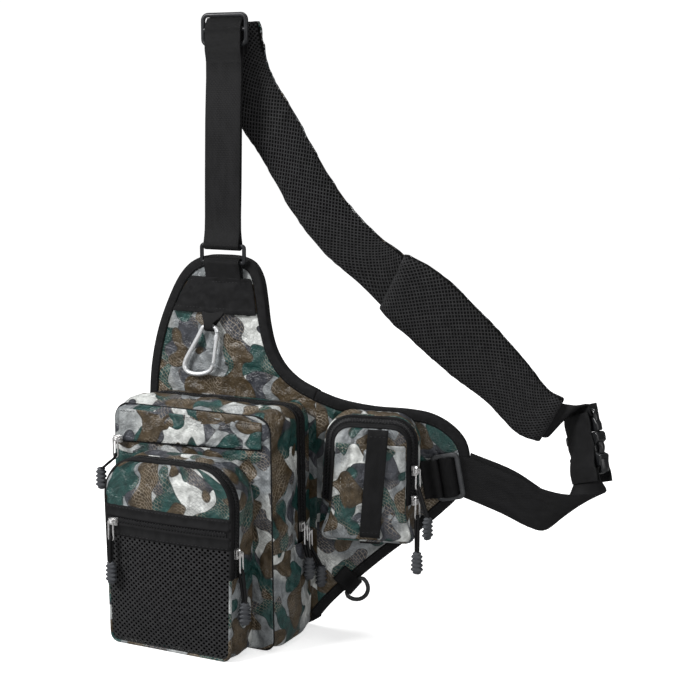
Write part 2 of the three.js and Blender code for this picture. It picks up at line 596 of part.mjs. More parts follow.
// Side-release buckle, drawn with x across, y outward and z along the strap
const buckle = new THREE.Group();
buckle.position.set(BUCKLE.x, BUCKLE.y, BUCKLE.z);
buckle.rotation.set(0, -BUCKLE.lean * DEGREE, BUCKLE.turn * DEGREE, "ZYX");
bag.add(buckle);
const FEMALE = { bottom: -32, top: 7, slot: 5, slotZ: -25.5, wallThick: 2.2, notchTop: -2, notchBottom: -15, notchDepth: 7 };
const MALE = { bottom: 7.4, top: 29, slot: 5, slotZ: 22, prongLength: 20, prongWidth: 7, thick: 5.8, reach: 1.4 };
const femaleShape = new THREE.Shape();
[
  { x: 0.44, z: FEMALE.bottom }, { x: 0.5, z: FEMALE.bottom + 4 }, { x: 0.5, z: FEMALE.notchBottom },
  { x: 0.5 - FEMALE.notchDepth / BUCKLE.width, z: FEMALE.notchBottom + 3 },
  { x: 0.5 - FEMALE.notchDepth / BUCKLE.width, z: FEMALE.notchTop - 3 }, { x: 0.5, z: FEMALE.notchTop },
  { x: 0.5, z: FEMALE.top },
].forEach(({ x, z }, i) => (i ? femaleShape.lineTo(x * BUCKLE.width, z) : femaleShape.moveTo(x * BUCKLE.width, z)));
[
  { x: 0.5, z: FEMALE.top }, { x: 0.5, z: FEMALE.notchTop },
  { x: 0.5 - FEMALE.notchDepth / BUCKLE.width, z: FEMALE.notchTop - 3 },
  { x: 0.5 - FEMALE.notchDepth / BUCKLE.width, z: FEMALE.notchBottom + 3 },
  { x: 0.5, z: FEMALE.notchBottom }, { x: 0.5, z: FEMALE.bottom + 4 }, { x: 0.44, z: FEMALE.bottom },
].forEach(({ x, z }) => femaleShape.lineTo(-x * BUCKLE.width, z));
femaleShape.closePath();
const slotWidth = WEBBING.width + 2;
femaleShape.holes.push(roundedShape(THREE.Path, slotWidth, FEMALE.slot, 1, flat(0, FEMALE.slotZ)));
const cavityShape = roundedShape(
  THREE.Shape, BUCKLE.width - 2 * FEMALE.wallThick, MALE.prongLength + 6, 0.5, flat(0, FEMALE.top - MALE.prongLength / 2 + 3),
);
const cavity = solid(plate(cavityShape, MALE.thick + 2 * GAP, 0));
add(buckle, "buckle_female", fromSolid(solid(plate(femaleShape, BUCKLE.thick, 1)).subtract(cavity)), "plastic");

const maleShape = new THREE.Shape();
const prongOuter = BUCKLE.width / 2 - FEMALE.wallThick - GAP;
const prongTip = MALE.bottom - MALE.prongLength;
[
  { x: 0.46 * BUCKLE.width, z: MALE.top }, { x: 0.5 * BUCKLE.width, z: MALE.top - 4 },
  { x: 0.5 * BUCKLE.width, z: MALE.bottom }, { x: prongOuter, z: MALE.bottom }, { x: prongOuter, z: prongTip + 4 },
  { x: prongOuter - 3, z: prongTip }, { x: prongOuter - MALE.prongWidth, z: prongTip + 4 },
  { x: prongOuter - MALE.prongWidth, z: MALE.bottom + 2 },
].forEach(({ x, z }, i) => (i ? maleShape.lineTo(x, z) : maleShape.moveTo(x, z)));
[
  { x: prongOuter - MALE.prongWidth, z: MALE.bottom + 2 }, { x: prongOuter - MALE.prongWidth, z: prongTip + 4 },
  { x: prongOuter - 3, z: prongTip }, { x: prongOuter, z: prongTip + 4 }, { x: prongOuter, z: MALE.bottom },
  { x: 0.5 * BUCKLE.width, z: MALE.bottom }, { x: 0.5 * BUCKLE.width, z: MALE.top - 4 },
  { x: 0.46 * BUCKLE.width, z: MALE.top },
].forEach(({ x, z }) => maleShape.lineTo(-x, z));
maleShape.closePath();
maleShape.holes.push(roundedShape(THREE.Path, slotWidth, MALE.slot, 1, flat(0, MALE.slotZ)));
add(buckle, "buckle_male", plate(maleShape, MALE.thick, 0), "plastic");

// Webbing to the buckle and the lower strap
buckle.updateMatrix();
const toBag = (y, z, half = WEBBING.width / 2) => {
  const centre = point(0, y, z).applyMatrix4(buckle.matrix);
  const across = point(half, y, z).applyMatrix4(buckle.matrix).sub(centre);
  return { x: centre.x, y: centre.y, z: centre.z, ax: across.x, ay: across.y, az: across.z };
};
const maleBar = { z: (MALE.top + MALE.slotZ + MALE.slot / 2) / 2, radius: MALE.thick / 2 + 0.5 + WEBBING.thick / 2 };
const femaleBar = { z: (FEMALE.bottom + FEMALE.slotZ - FEMALE.slot / 2) / 2, half: BUCKLE.thick / 2 + 0.5 + WEBBING.thick / 2 };
const stubTurn = { y: 1.8, z: MALE.slotZ - 0.2, high: MALE.slotZ + 2.3 };
add(bag, "strap_stub", strap([
  { x: 293, y: 95, z: 200, ax: 9.5, ay: 2.7, az: 16.2 },
  { x: 299, y: 97.5, z: 203, ax: 12, ay: 0, az: 14.5 },
  toBag(-maleBar.radius, maleBar.z + 7),
  toBag(-maleBar.radius, stubTurn.high),
  toBag(-stubTurn.y, stubTurn.z),
  toBag(-GAP / 2, stubTurn.z),
], WEBBING.thick), "black");
add(bag, "stub_fold", strap([
  toBag(GAP / 2, stubTurn.z),
  toBag(stubTurn.y, stubTurn.z),
  toBag(maleBar.radius, stubTurn.high),
  toBag(maleBar.radius, maleBar.z + 8),
], WEBBING.thick), "black");
// The guard lies over the buckle and over the webbing at both its bars.
const guardY = -BUCKLE.thick / 2 - GAP - WEBBING.thick / 2;
const guardLift = WEBBING.thick + 4 * GAP;
add(bag, "buckle_guard", strap([
  toBag(guardY, 26), toBag(guardY, 6), toBag(guardY, -13), toBag(guardY - guardLift, -22), toBag(guardY - guardLift, -37),
], WEBBING.thick), "black");

const LOWER_ROWS = [
  { x: 206.7, y: 38.6, z: 153.5, ax: 3, ay: 1.1, az: 18.6 },
  { x: 224, y: 44.9, z: 151, ax: 3, ay: 1.1, az: 18.6 },
  { x: 260, y: 57.9, z: 136, ax: 4.9, ay: 1.8, az: 18.3 },
  { x: 284, y: 66.7, z: 124, ax: 6.5, ay: 2.4, az: 18 },
  { x: 301, y: 73.5, z: 120, ax: 11, ay: 3.9, az: 17.5 },
  { x: 316, y: 83, z: 124, ax: 17, ay: 5, az: 15 },
  { x: 324, y: 93, z: 133, ax: 19, ay: 0, az: 8 },
];
const femaleRows = [
  toBag(-femaleBar.half, femaleBar.z - 6),
  toBag(-femaleBar.half, femaleBar.z - 1),
  toBag(-femaleBar.half + 1.2, FEMALE.slotZ - 0.4),
  toBag(femaleBar.half - 1.2, FEMALE.slotZ - 0.4),
  toBag(femaleBar.half, femaleBar.z - 1),
  toBag(femaleBar.half, femaleBar.z - 10),
];
const smoothLower = (rows, substeps) => {
  const centres = new THREE.CatmullRomCurve3(rows.map((r) => point(r.x, r.y, r.z)));
  const halves = new THREE.CatmullRomCurve3(rows.map((r) => point(r.ax, r.ay, r.az)));
  const steps = (rows.length - 1) * substeps;
  return Array.from({ length: steps + 1 }, (unused, i) => {
    const [c, h] = [centres.getPoint(i / steps), halves.getPoint(i / steps)];
    return { x: c.x, y: c.y, z: c.z, ax: h.x, ay: h.y, az: h.z };
  });
};
add(bag, "lower_strap", strap([
  ...smoothLower([...LOWER_ROWS, femaleRows[0]], 3), ...femaleRows.slice(1),
], WEBBING.thick), "black");
// The tail starts past the wing's tip.
const tailRows = smoothLower(LOWER_ROWS.slice(1, 4), 3).slice(1).map((row) => ({ ...row, z: row.z + 2.5 }));
add(bag, "lower_strap_tail", strap(tailRows, WEBBING.thick, { shift: -(WEBBING.thick + GAP) }), "black");

// Ladder lock and its tab on the wing
const ladder = new THREE.Group();
ladder.position.set(LADDER.s, LADDER.y, LADDER.z);
ladder.rotation.y = -LADDER.lean * DEGREE;
wing.add(ladder);
const ladderShape = roundedShape(THREE.Shape, LADDER.width, LADDER.height, 4);
const ladderRise = (LADDER.bar + LADDER.window) / 2;
[1, -1].forEach((side) => ladderShape.holes.push(
  roundedShape(THREE.Path, LADDER.window, LADDER.height - 6, 1.2, flat(side * ladderRise, 0)),
));
add(ladder, "ladder_lock", plate(ladderShape, LADDER.bar, 0.6), "plastic");
const leftBar = -LADDER.width / 2 + (LADDER.width / 2 - LADDER.bar / 2 - LADDER.window) / 2;
const tabWrap = LADDER.bar / 2 + 0.8 + WEBBING.thick / 2;
const tabBack = PANEL_FACE - LADDER.y - WEBBING.thick / 2;
const tabPath = [
  { x: leftBar - 13, y: tabBack - WEBBING.thick - GAP },
  ...wrap(0, leftBar, tabWrap, 1).reverse().map(({ y, z }) => ({ x: z, y })),
  { x: leftBar - 13, y: tabBack },
];
add(ladder, "ladder_tab", strap(tabPath.map((p) => ({ ...p, z: 0, ax: 0, ay: 0, az: WEBBING.width / 2 - 1 })), WEBBING.thick), "black");

// Carabiner on its keeper
const CARABINER_PATH = [
  { x: -17, z: 246 }, { x: -20, z: 241 }, { x: -27, z: 237.5 }, { x: -37, z: 236 }, { x: -45, z: 237.5 },
  { x: -49, z: 242 }, { x: -48, z: 248 }, { x: -41, z: 260 }, { x: -33, z: 273 }, { x: -30, z: 278.5 },
  { x: -27.8, z: 281.8 }, { x: -25, z: 283 }, { x: -15.4, z: 283 }, { x: -13.1, z: 281.6 }, { x: -12.2, z: 278.4 },
];
const CARABINER_GATE = [{ x: -16.75, z: 246.9 }, { x: -12.3, z: 277.6 }];
const depthAxis = point(0, 1, 0);
const inCarabiner = ({ x, z }) => point(x, CARABINER.y, z);
add(bag, "carabiner_body", bar(CARABINER_PATH.map(inCarabiner), CARABINER.wire, depthAxis), "metal");
add(bag, "carabiner_gate", bar(CARABINER_GATE.map(inCarabiner), CARABINER.gate, depthAxis), "metal");
const keeperWrap = CARABINER.wire + 0.5 + WEBBING.thick / 2;
const KEEPER_TOP = REINFORCEMENT.bottom - GAP;
const keeperRows = acrossX([
  { y: PANEL_FACE - WEBBING.thick / 2, z: KEEPER_TOP },
  ...wrap(CARABINER.y, CARABINER.top, keeperWrap, -1),
  { y: PANEL_FACE - WEBBING.thick * 1.5 - GAP, z: KEEPER_TOP },
], CARABINER.keeperX, CARABINER.keeperWidth);
[keeperRows[0], keeperRows[keeperRows.length - 1]].forEach((row) => {
  row.ax = CARABINER.keeperFlare / 2;
});
add(bag, "carabiner_keeper", strap(keeperRows, WEBBING.thick), "black");

// D-ring on its tab, drawn hanging straight down and turned with its group
const hanger = new THREE.Group();
hanger.position.set(D_RING.s, 0, D_RING.z);
hanger.rotation.y = D_RING.turn * DEGREE;
wing.add(hanger);
const D_STEPS = 10;
const ringBow = Array.from({ length: D_STEPS + 1 }, (unused, k) => {
  const angle = (k / D_STEPS) * Math.PI;
  return point(D_RING.halfBar * Math.cos(angle), D_RING.y, D_RING.barZ - 3 - (D_RING.drop - 3) * Math.sin(angle));
});
const ringBar = [-0.85, -0.4, 0.4, 0.85].map((u) => point(u * D_RING.halfBar, D_RING.y, D_RING.barZ));
add(hanger, "d_ring", bar([...ringBow, ...ringBar], D_RING.wire, depthAxis, true), "ironware");
const tabRadius = D_RING.wire + 0.5 + WEBBING.thick / 2;
add(hanger, "d_ring_tab", strap(acrossX([
  { y: PANEL_FACE - WEBBING.thick / 2, z: 12 },
  ...wrap(D_RING.y, D_RING.barZ, tabRadius, -1),
  { y: PANEL_FACE - WEBBING.thick * 1.5 - GAP, z: 12 },
], 0, D_RING.tabWidth), WEBBING.thick), "black");

// Zip sliders with their cords and grips
// Each is drawn on a face looking toward -Y and hung on its own group; face is the turn about +Z to its zip.
const SLIDER = { width: 7, length: 9, thick: 3.2, wire: 0.8, pullHalf: 2.6, pullTop: 2, pullDrop: 15 };
const CORD = { radius: 1.1, half: 1.6 };
const GRIP = { length: 22, half: 6, thick: 2.4, ribs: 4 };
const GRIP_SECTION = [
  { a: 1, n: 0.4 }, { a: 0.6, n: 1 }, { a: -0.6, n: 1 }, { a: -1, n: 0.4 },
  { a: -1, n: -0.4 }, { a: -0.6, n: -1 }, { a: 0.6, n: -1 }, { a: 1, n: -0.4 },
];
// sway moves the grip along the face, out moves it away from the face, twist turns it on its cord.
const PULLS = [
  { name: "flap", parent: bag, x: -76, y: FRONT_FACE - FLAP.lift - WALL, z: 184, face: 0, roll: 90, cord: 14, sway: -17, out: 0 },
  { name: "band", parent: bag, x: -57, y: POCKET_EDGE - 3.6, z: 116, face: 0, roll: 90, cord: 22, sway: 0, out: 1 },
  { name: "pocket", parent: bag, x: 65.1, y: POCKET_EDGE + 6, z: 99, face: 90, roll: 0, cord: 30, sway: 2, out: 0 },
  { name: "main_front", parent: bag, x: 84.3, y: -21.5, z: 104, face: 90, roll: 0, cord: 14, sway: -1, out: 4 },
  { name: "main_rear", parent: bag, x: 84.3, y: -12, z: 97, face: 90, roll: 0, cord: 18, sway: 4, out: 9 },
  { name: "pouch_upper", parent: wing, x: 91.2, y: -27.3, z: 163, face: 48, roll: 0, cord: 26, sway: 0, out: 13 },
  { name: "pouch_lower", parent: wing, x: 90.9, y: -27.3, z: 135, face: 48, roll: 0, cord: 33, sway: -1, out: 1, twist: -60 },
];
const pullY = -SLIDER.thick - 2.8;
const pullBottom = -SLIDER.pullDrop;
const pullPath = [
  { x: 1, z: SLIDER.pullTop }, { x: 1, z: pullBottom }, { x: 0.6, z: pullBottom - 1.6 },
  { x: -0.6, z: pullBottom - 1.6 }, { x: -1, z: pullBottom }, { x: -1, z: SLIDER.pullTop },
].map(({ x, z }) => point(x * SLIDER.pullHalf, pullY, z));
function block(width, length, thick, y, roll) {
  const geometry = new THREE.BoxGeometry(width, thick, length);
  geometry.rotateY(roll * DEGREE);
  geometry.translate(0, y, 0);
  return solid(geometry);
}
function sliderBody(roll) {
  const body = block(SLIDER.width, SLIDER.length, SLIDER.thick, -GAP - SLIDER.thick / 2, roll);
  const bridge = block(2.6, 5.5, 3.4, -SLIDER.thick - 1.4, roll);
  const pull = solid(bar(pullPath, SLIDER.wire, depthAxis, true, 5));
  return fromSolid(body.add(bridge).add(pull));
}
function pullTail({ cord, sway, out, twist = 0 }) {
  const top = pullBottom - 1.6 + SLIDER.wire + CORD.radius + GAP;
  const bottom = top - cord;
  const cordPath = [
    { y: CORD.half + 0.3, z: bottom - 3 }, { y: CORD.half + 0.6, z: top - 2.5 }, { y: CORD.half * 0.7, z: top - 0.4 },
    { y: 0, z: top }, { y: -CORD.half * 0.7, z: top - 0.4 }, { y: -CORD.half - 0.6, z: top - 2.5 },
    { y: -CORD.half - 0.3, z: bottom - 3 },
  ].map(({ y, z }) => {
    const share = Math.max(top - z - 2.5, 0) / cord;
    return point(sway * share, pullY + y - out * share, z);
  });
  const cordSolid = solid(bar(cordPath, CORD.radius, point(1, 0, 0), false, 5));
  const levels = Array.from({ length: 2 * GRIP.ribs + 1 }, (unused, k) => ({
    z: bottom - (k / (2 * GRIP.ribs)) * GRIP.length,
    half: GRIP.half * (k % 2 ? 0.82 : 1) * (k === 0 || k === 2 * GRIP.ribs ? 0.7 : 1),
  }));
  const gripSolid = solid(loft(levels.map(({ z, half }) => GRIP_SECTION.map(({ a, n }) => {
    const turned = flat(a * half, n * (GRIP.thick + CORD.half)).rotateAround(flat(0, 0), twist * DEGREE);
    return point(sway + turned.x, pullY - out + turned.y, z);
  }))));
  return fromSolid(cordSolid.add(gripSolid));
}
PULLS.forEach((pull) => {
  const group = new THREE.Group();
  group.position.set(pull.x, pull.y, pull.z);
  group.rotation.z = pull.face * DEGREE;
  pull.parent.add(group);
  add(group, `${pull.name}_slider`, sliderBody(pull.roll), "metal");
  add(group, `${pull.name}_pull`, pullTail(pull), "rubber");
});

export default bag;
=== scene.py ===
# Tackle sling bag: camouflage nylon, black tape, net, webbing, moulded plastic and bright metal.
# Pieces are drawn in millimetres in the bag's own frame, then placed.
# In that frame the base is at z 0, the face of the back panel is at y 0, and the front looks along -y.
import bisect
import math

import bmesh
import bpy
from mathutils import Matrix, Vector, geometry, noise
from mathutils.bvhtree import BVHTree


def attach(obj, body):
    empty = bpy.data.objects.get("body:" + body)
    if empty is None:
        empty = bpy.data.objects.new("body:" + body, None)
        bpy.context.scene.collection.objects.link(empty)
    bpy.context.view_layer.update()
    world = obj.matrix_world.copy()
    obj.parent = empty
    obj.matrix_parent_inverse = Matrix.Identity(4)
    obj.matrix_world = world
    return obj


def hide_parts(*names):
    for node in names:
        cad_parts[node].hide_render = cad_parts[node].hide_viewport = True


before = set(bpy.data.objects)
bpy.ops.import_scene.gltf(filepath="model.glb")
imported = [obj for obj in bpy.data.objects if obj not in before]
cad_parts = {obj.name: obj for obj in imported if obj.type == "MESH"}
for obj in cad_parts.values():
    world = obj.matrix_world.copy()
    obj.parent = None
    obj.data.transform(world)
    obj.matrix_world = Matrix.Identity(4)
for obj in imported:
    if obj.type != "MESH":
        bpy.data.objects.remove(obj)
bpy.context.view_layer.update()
scene = bpy.context.scene


# Studio
# A pale floor just under the base, a white surround, three soft lights and the camera.
# The frame's origin is under the strap's top fold, so the bag stands well below it.
HANG = Vector((-2, 3.8, 570.8))
IN_BAG = Matrix.Scale(0.001, 4) @ Matrix.Translation(-HANG)
FLOOR = {"level": -0.9, "reach": 9000, "near": 0.62, "far": 0.86, "glow": 0.1, "fade": (0.8, 2.2)}
PAPER = {"seen": "f8f8f8", "lighting": "9a9a9a", "rough": 0.9}
SURROUND = {"seen": 1.05, "light": 0.17}
CAMERA = {"place": (707.4, -1198.4, 494.5), "tilt": 80.84, "turn": 26.3, "lens": 78.1, "sensor": 36}
LIGHTS = [
    {"name": "key", "place": (-1000, -1400, 1400), "aim": (40, 0, 250), "size": 0.6, "watts": 47},
    {"name": "fill", "place": (1500, -1300, 700), "aim": (80, 0, 220), "size": 1.4, "watts": 13},
    {"name": "top", "place": (100, 300, 1900), "aim": (60, 0, 200), "size": 0.9, "watts": 20},
]


def wire(tree, kind, inputs=None, **settings):
    """Adds one node to a tree, with its settings, and a link or a value for each input named."""
    node = tree.nodes.new(kind)
    for key, value in settings.items():
        setattr(node, key, value)
    for socket, value in (inputs or {}).items():
        if isinstance(value, bpy.types.NodeSocket):
            tree.links.new(value, node.inputs[socket])
        else:
            node.inputs[socket].default_value = value
    return node


def new_finish(name, constants):
    """A material with its plain numbers set on the shader's own sockets; also gives its tree and shader."""
    finish = bpy.data.materials.new(name)
    finish.use_nodes = True
    shader = finish.node_tree.nodes["Principled BSDF"]
    for socket, value in constants.items():
        shader.inputs[socket].default_value = value
    return finish, finish.node_tree, shader


def dye(code):
    """Linear colour of a six-digit sRGB code."""
    parts = [int(code[i:i + 2], 16) / 255 for i in (0, 2, 4)]
    return (*(c / 12.92 if c < 0.04045 else ((c + 0.055) / 1.055) ** 2.4 for c in parts), 1)


def mixed(tree, factor, first, second, mode="MIX"):
    node = wire(tree, "ShaderNodeMix", {0: factor, 6: first, 7: second}, data_type="RGBA", blend_type=mode)
    return node.outputs[2]


def spread(tree, value, low, high, to_low=0.0, to_high=1.0):
    node = wire(tree, "ShaderNodeMapRange", {
        "Value": value, "From Min": low, "From Max": high, "To Min": to_low, "To Max": to_high})
    return node.outputs[0]


floor_finish, tree, shader = new_finish(
    "studio_paper", {"Roughness": PAPER["rough"], "Emission Color": dye("ffffff")})
ray = wire(tree, "ShaderNodeLightPath").outputs["Is Camera Ray"]
away = wire(tree, "ShaderNodeTexCoord").outputs["Object"]
away = wire(tree, "ShaderNodeVectorMath", {0: away}, operation="LENGTH").outputs["Value"]
white = spread(tree, away, *FLOOR["fade"], FLOOR["near"], FLOOR["far"])
tree.links.new(spread(tree, ray, 0, 1, FLOOR["glow"], white), shader.inputs["Emission Strength"])
tree.links.new(mixed(tree, ray, dye(PAPER["lighting"]), dye(PAPER["seen"])), shader.inputs["Base Color"])
bm = bmesh.new()
bmesh.ops.create_grid(bm, x_segments=1, y_segments=1, size=FLOOR["reach"])
bmesh.ops.transform(bm, matrix=IN_BAG @ Matrix.Translation((0, 0, FLOOR["level"])), verts=bm.verts)
floor_mesh = bpy.data.meshes.new("studio_floor")
bm.to_mesh(floor_mesh)
bm.free()
floor_mesh.materials.append(floor_finish)
floor = bpy.data.objects.new("studio_floor", floor_mesh)
scene.collection.objects.link(floor)

surround = bpy.data.worlds.new("studio_surround")
surround.use_nodes = True
shine = surround.node_tree.nodes["Background"].inputs
shine["Color"].default_value = dye("ffffff")
ray = wire(surround.node_tree, "ShaderNodeLightPath").outputs["Is Camera Ray"]
surround.node_tree.links.new(
    spread(surround.node_tree, ray, 0, 1, SURROUND["light"], SURROUND["seen"]), shine["Strength"])
scene.world = surround
scene.view_settings.view_transform = "Standard"
scene.view_settings.look = "None"

for lamp in LIGHTS:
    light = bpy.data.lights.new(lamp["name"], "AREA")
    light.size, light.energy = lamp["size"], lamp["watts"]
    holder = bpy.data.objects.new(lamp["name"], light)
    place, aim = IN_BAG @ Vector(lamp["place"]), IN_BAG @ Vector(lamp["aim"])
    holder.location = place
    holder.rotation_euler = (aim - place).to_track_quat("-Z", "Y").to_euler()
    scene.collection.objects.link(holder)

camera = bpy.data.objects.new("camera", bpy.data.cameras.new("camera"))
camera.data.lens, camera.data.sensor_width = CAMERA["lens"], CAMERA["sensor"]
camera.location = IN_BAG @ Vector(CAMERA["place"])
camera.rotation_euler = (math.radians(CAMERA["tilt"]), 0, math.radians(CAMERA["turn"]))
scene.collection.objects.link(camera)
scene.camera = camera


# Camouflage nylon
# Thin coated satin nylon, printed with rounded blobs of brown, teal and slate on pale grey.
# Faint net lines run through the print, and the cloth is crinkled. Scales count waves to a metre.
PRINT = [
    {"colour": "3a3c42", "shift": (3.1, 7.7, 0), "scale": 40.0, "level": 0.572},
    {"colour": "1f403d", "shift": (11.3, 2.9, 0), "scale": 35.0, "level": 0.556},
    {"colour": "453a2a", "shift": (5.9, 17.1, 0), "scale": 35.0, "level": 0.57},
]
PRINT_EDGE = {"soft": 0.006, "inside": 0.012, "line": 0.02, "colour": "1e2021", "strength": 0.6}
WAVER = {"scale": 60.0, "reach": (0.008, 0.008, 0)}
GROUND = {"shift": (9.7, 4.3, 0), "scale": 16.0, "range": (0.42, 0.6), "dull": "7b7f81", "pale": "c2c4c1"}
# Wash: random patches that darken and lighten the print. This is partly the print's own uneven tone and
# partly painted shade and painted highlight, standing in for the streaks of light on crinkled satin.
WASH_AND_PAINTED_SHADE = {"scale": 110.0, "range": (0.3, 0.7), "shade": (0.7, 1.3)}
NET_LINES = {
    "turn": (0, 0, 0.6), "scale": 150.0, "line": 0.05, "soft": 0.4, "wide": 0.62, "tall": 0.4,
    "on_ground": "55585d", "on_blobs": "a99d8c", "strength": 0.42,
}
NET_PATCHES = {"shift": (21.0, 1.4, 0), "scale": 22.0, "range": (0.5, 0.6)}
CRINKLE = {
    "folds": 70.0, "facets": 62.0, "rounding": 0.25, "facet_share": 0.55, "grain": 900.0, "grain_share": 0.1,
    "range": (0.3, 0.7), "rough": (0.27, 0.43), "strength": 0.95, "depth": 0.005,
}


def shared_effect(name, inputs, outputs):
    """An empty node group; gives the group, what goes into it and what comes out of it."""
    group = bpy.data.node_groups.new(name, "ShaderNodeTree")
    for socket, kind in inputs:
        group.interface.new_socket(socket, in_out="INPUT", socket_type=kind)
    for socket, kind in outputs:
        group.interface.new_socket(socket, in_out="OUTPUT", socket_type=kind)
    return group, group.nodes.new("NodeGroupInput").outputs, group.nodes.new("NodeGroupOutput").inputs


def maths(tree, operation, first, second=0.0):
    return wire(tree, "ShaderNodeMath", {0: first, 1: second}, operation=operation).outputs[0]


def vector_maths(tree, operation, first, second):
    return wire(tree, "ShaderNodeVectorMath", {0: first, 1: second}, operation=operation).outputs[0]


def flat_noise(tree, vector, scale, detail=0.0, output=0):
    return wire(tree, "ShaderNodeTexNoise", {"Vector": vector, "Scale": scale, "Detail": detail},
                noise_dimensions="2D").outputs[output]


camo_print, given, result = shared_effect(
    "camo_print", [("Cloth", "NodeSocketVector")],
    [("Color", "NodeSocketColor"), ("Roughness", "NodeSocketFloat"), ("Height", "NodeSocketFloat")])
cloth = given["Cloth"]
waver = flat_noise(camo_print, cloth, WAVER["scale"], output=1)
waver = vector_maths(camo_print, "SUBTRACT", waver, (0.5, 0.5, 0.5))
waver = vector_maths(camo_print, "MULTIPLY", waver, WAVER["reach"])
wavy = vector_maths(camo_print, "ADD", cloth, waver)
pale = vector_maths(camo_print, "ADD", cloth, GROUND["shift"])
pale = spread(camo_print, flat_noise(camo_print, pale, GROUND["scale"], detail=1.0), *GROUND["range"])
colour = mixed(camo_print, pale, dye(GROUND["dull"]), dye(GROUND["pale"]))
edge = printed_over = None
for blob in PRINT:
    field = vector_maths(camo_print, "ADD", wavy, blob["shift"])
    field = flat_noise(camo_print, field, blob["scale"])
    mask = spread(camo_print, field, blob["level"] - PRINT_EDGE["soft"], blob["level"] + PRINT_EDGE["soft"])
    off = maths(camo_print, "SUBTRACT", field, blob["level"] + PRINT_EDGE["inside"])
    line = spread(camo_print, maths(camo_print, "ABSOLUTE", off), 0.0, PRINT_EDGE["line"], 1.0, 0.0)
    if edge is None:
        edge, printed_over = line, mask
    else:
        still_seen = maths(camo_print, "MULTIPLY", edge, spread(camo_print, mask, 0, 1, 1, 0))
        edge = maths(camo_print, "MAXIMUM", still_seen, line)
        printed_over = maths(camo_print, "MAXIMUM", printed_over, mask)
    colour = mixed(camo_print, mask, colour, dye(blob["colour"]))
# Painted shade and highlight: the wash multiplies the print darker and lighter in random patches, partly
# uneven print tone and partly light streaks of the crinkled cloth.
wash_and_painted_shade = flat_noise(camo_print, cloth, WASH_AND_PAINTED_SHADE["scale"], detail=3.0)
colour = mixed(camo_print, 1.0, colour, spread(camo_print, wash_and_painted_shade, *WASH_AND_PAINTED_SHADE["range"], *WASH_AND_PAINTED_SHADE["shade"]), "MULTIPLY")
edge = maths(camo_print, "MULTIPLY", edge, PRINT_EDGE["strength"])
colour = mixed(camo_print, edge, colour, dye(PRINT_EDGE["colour"]))
turned = wire(camo_print, "ShaderNodeMapping", {"Vector": wavy, "Rotation": NET_LINES["turn"]}).outputs[0]
netting = wire(camo_print, "ShaderNodeTexBrick", {
    "Vector": turned, "Scale": NET_LINES["scale"], "Mortar Size": NET_LINES["line"],
    "Mortar Smooth": NET_LINES["soft"], "Brick Width": NET_LINES["wide"], "Row Height": NET_LINES["tall"],
}).outputs["Fac"]
patches = vector_maths(camo_print, "ADD", cloth, NET_PATCHES["shift"])
patches = flat_noise(camo_print, patches, NET_PATCHES["scale"], detail=1.0)
netting = maths(camo_print, "MULTIPLY", netting, spread(camo_print, patches, *NET_PATCHES["range"]))
netting = maths(camo_print, "MULTIPLY", netting, NET_LINES["strength"])
net_colour = mixed(camo_print, printed_over, dye(NET_LINES["on_ground"]), dye(NET_LINES["on_blobs"]))
folds = flat_noise(camo_print, wavy, CRINKLE["folds"], detail=3.0)
facets = wire(camo_print, "ShaderNodeTexVoronoi", {
    "Vector": wavy, "Scale": CRINKLE["facets"], "Smoothness": CRINKLE["rounding"]},
    voronoi_dimensions="2D", feature="SMOOTH_F1").outputs["Distance"]
grain = flat_noise(camo_print, cloth, CRINKLE["grain"], detail=1.0)
height = maths(camo_print, "ADD", folds, maths(camo_print, "MULTIPLY", facets, CRINKLE["facet_share"]))
height = maths(camo_print, "ADD", height, maths(camo_print, "MULTIPLY", grain, CRINKLE["grain_share"]))
camo_print.links.new(mixed(camo_print, netting, colour, net_colour), result["Color"])
camo_print.links.new(spread(camo_print, folds, *CRINKLE["range"], *CRINKLE["rough"]), result["Roughness"])
camo_print.links.new(height, result["Height"])


def cloth_map(tree):
    return wire(tree, "ShaderNodeUVMap", uv_map="cloth").outputs[0]


camo_nylon, tree, shader = new_finish("camo_nylon", {"Specular IOR Level": 0.4})
printed = wire(tree, "ShaderNodeGroup", node_tree=camo_print)
tree.links.new(cloth_map(tree), printed.inputs["Cloth"])
tree.links.new(printed.outputs["Color"], shader.inputs["Base Color"])
tree.links.new(printed.outputs["Roughness"], shader.inputs["Roughness"])
bump = wire(tree, "ShaderNodeBump", {
    "Height": printed.outputs["Height"], "Strength": CRINKLE["strength"], "Distance": CRINKLE["depth"]})
tree.links.new(bump.outputs[0], shader.inputs["Normal"])


# Black tape, webbing and net thread
# Woven black polyester: grosgrain tape, ribbed webbing, knitted net and a plain lining.
# They differ in the pitch of their weave, given in metres, in their tones and in their gloss.
WEAVES = {
    "tape": {"pitch": (0.0011, 0.0009), "tones": ("0f0f10", "202021"), "rough": 0.75, "lift": 0.35},
    "webbing": {"pitch": (0.0016, 0.0012), "tones": ("0c0c0d", "1b1b1c"), "rough": 0.58, "lift": 0.5},
    "net_thread": {"pitch": (0.0006, 0.0006), "tones": ("222223", "353536"), "rough": 0.6, "lift": 0.3},
    "lining": {"pitch": (0.0007, 0.0007), "tones": ("030303", "070707"), "rough": 0.9, "lift": 0.2},
}
WEAVE_LOOK = {"fluff": 160.0, "range": (0.3, 0.7), "rib_share": 0.4, "fluff_share": 0.6}
WOVEN_FINISH = {"shine": 0.14, "rough_either_way": 0.08, "depth": 0.0004}
weave, given, result = shared_effect(
    "weave", [("Cloth", "NodeSocketVector"), ("Across", "NodeSocketFloat"), ("Along", "NodeSocketFloat")],
    [("Height", "NodeSocketFloat"), ("Shade", "NodeSocketFloat")])


def ribs(tree, value, pitch):
    turns = maths(tree, "MULTIPLY", maths(tree, "DIVIDE", value, pitch), math.tau)
    return maths(tree, "SINE", turns)


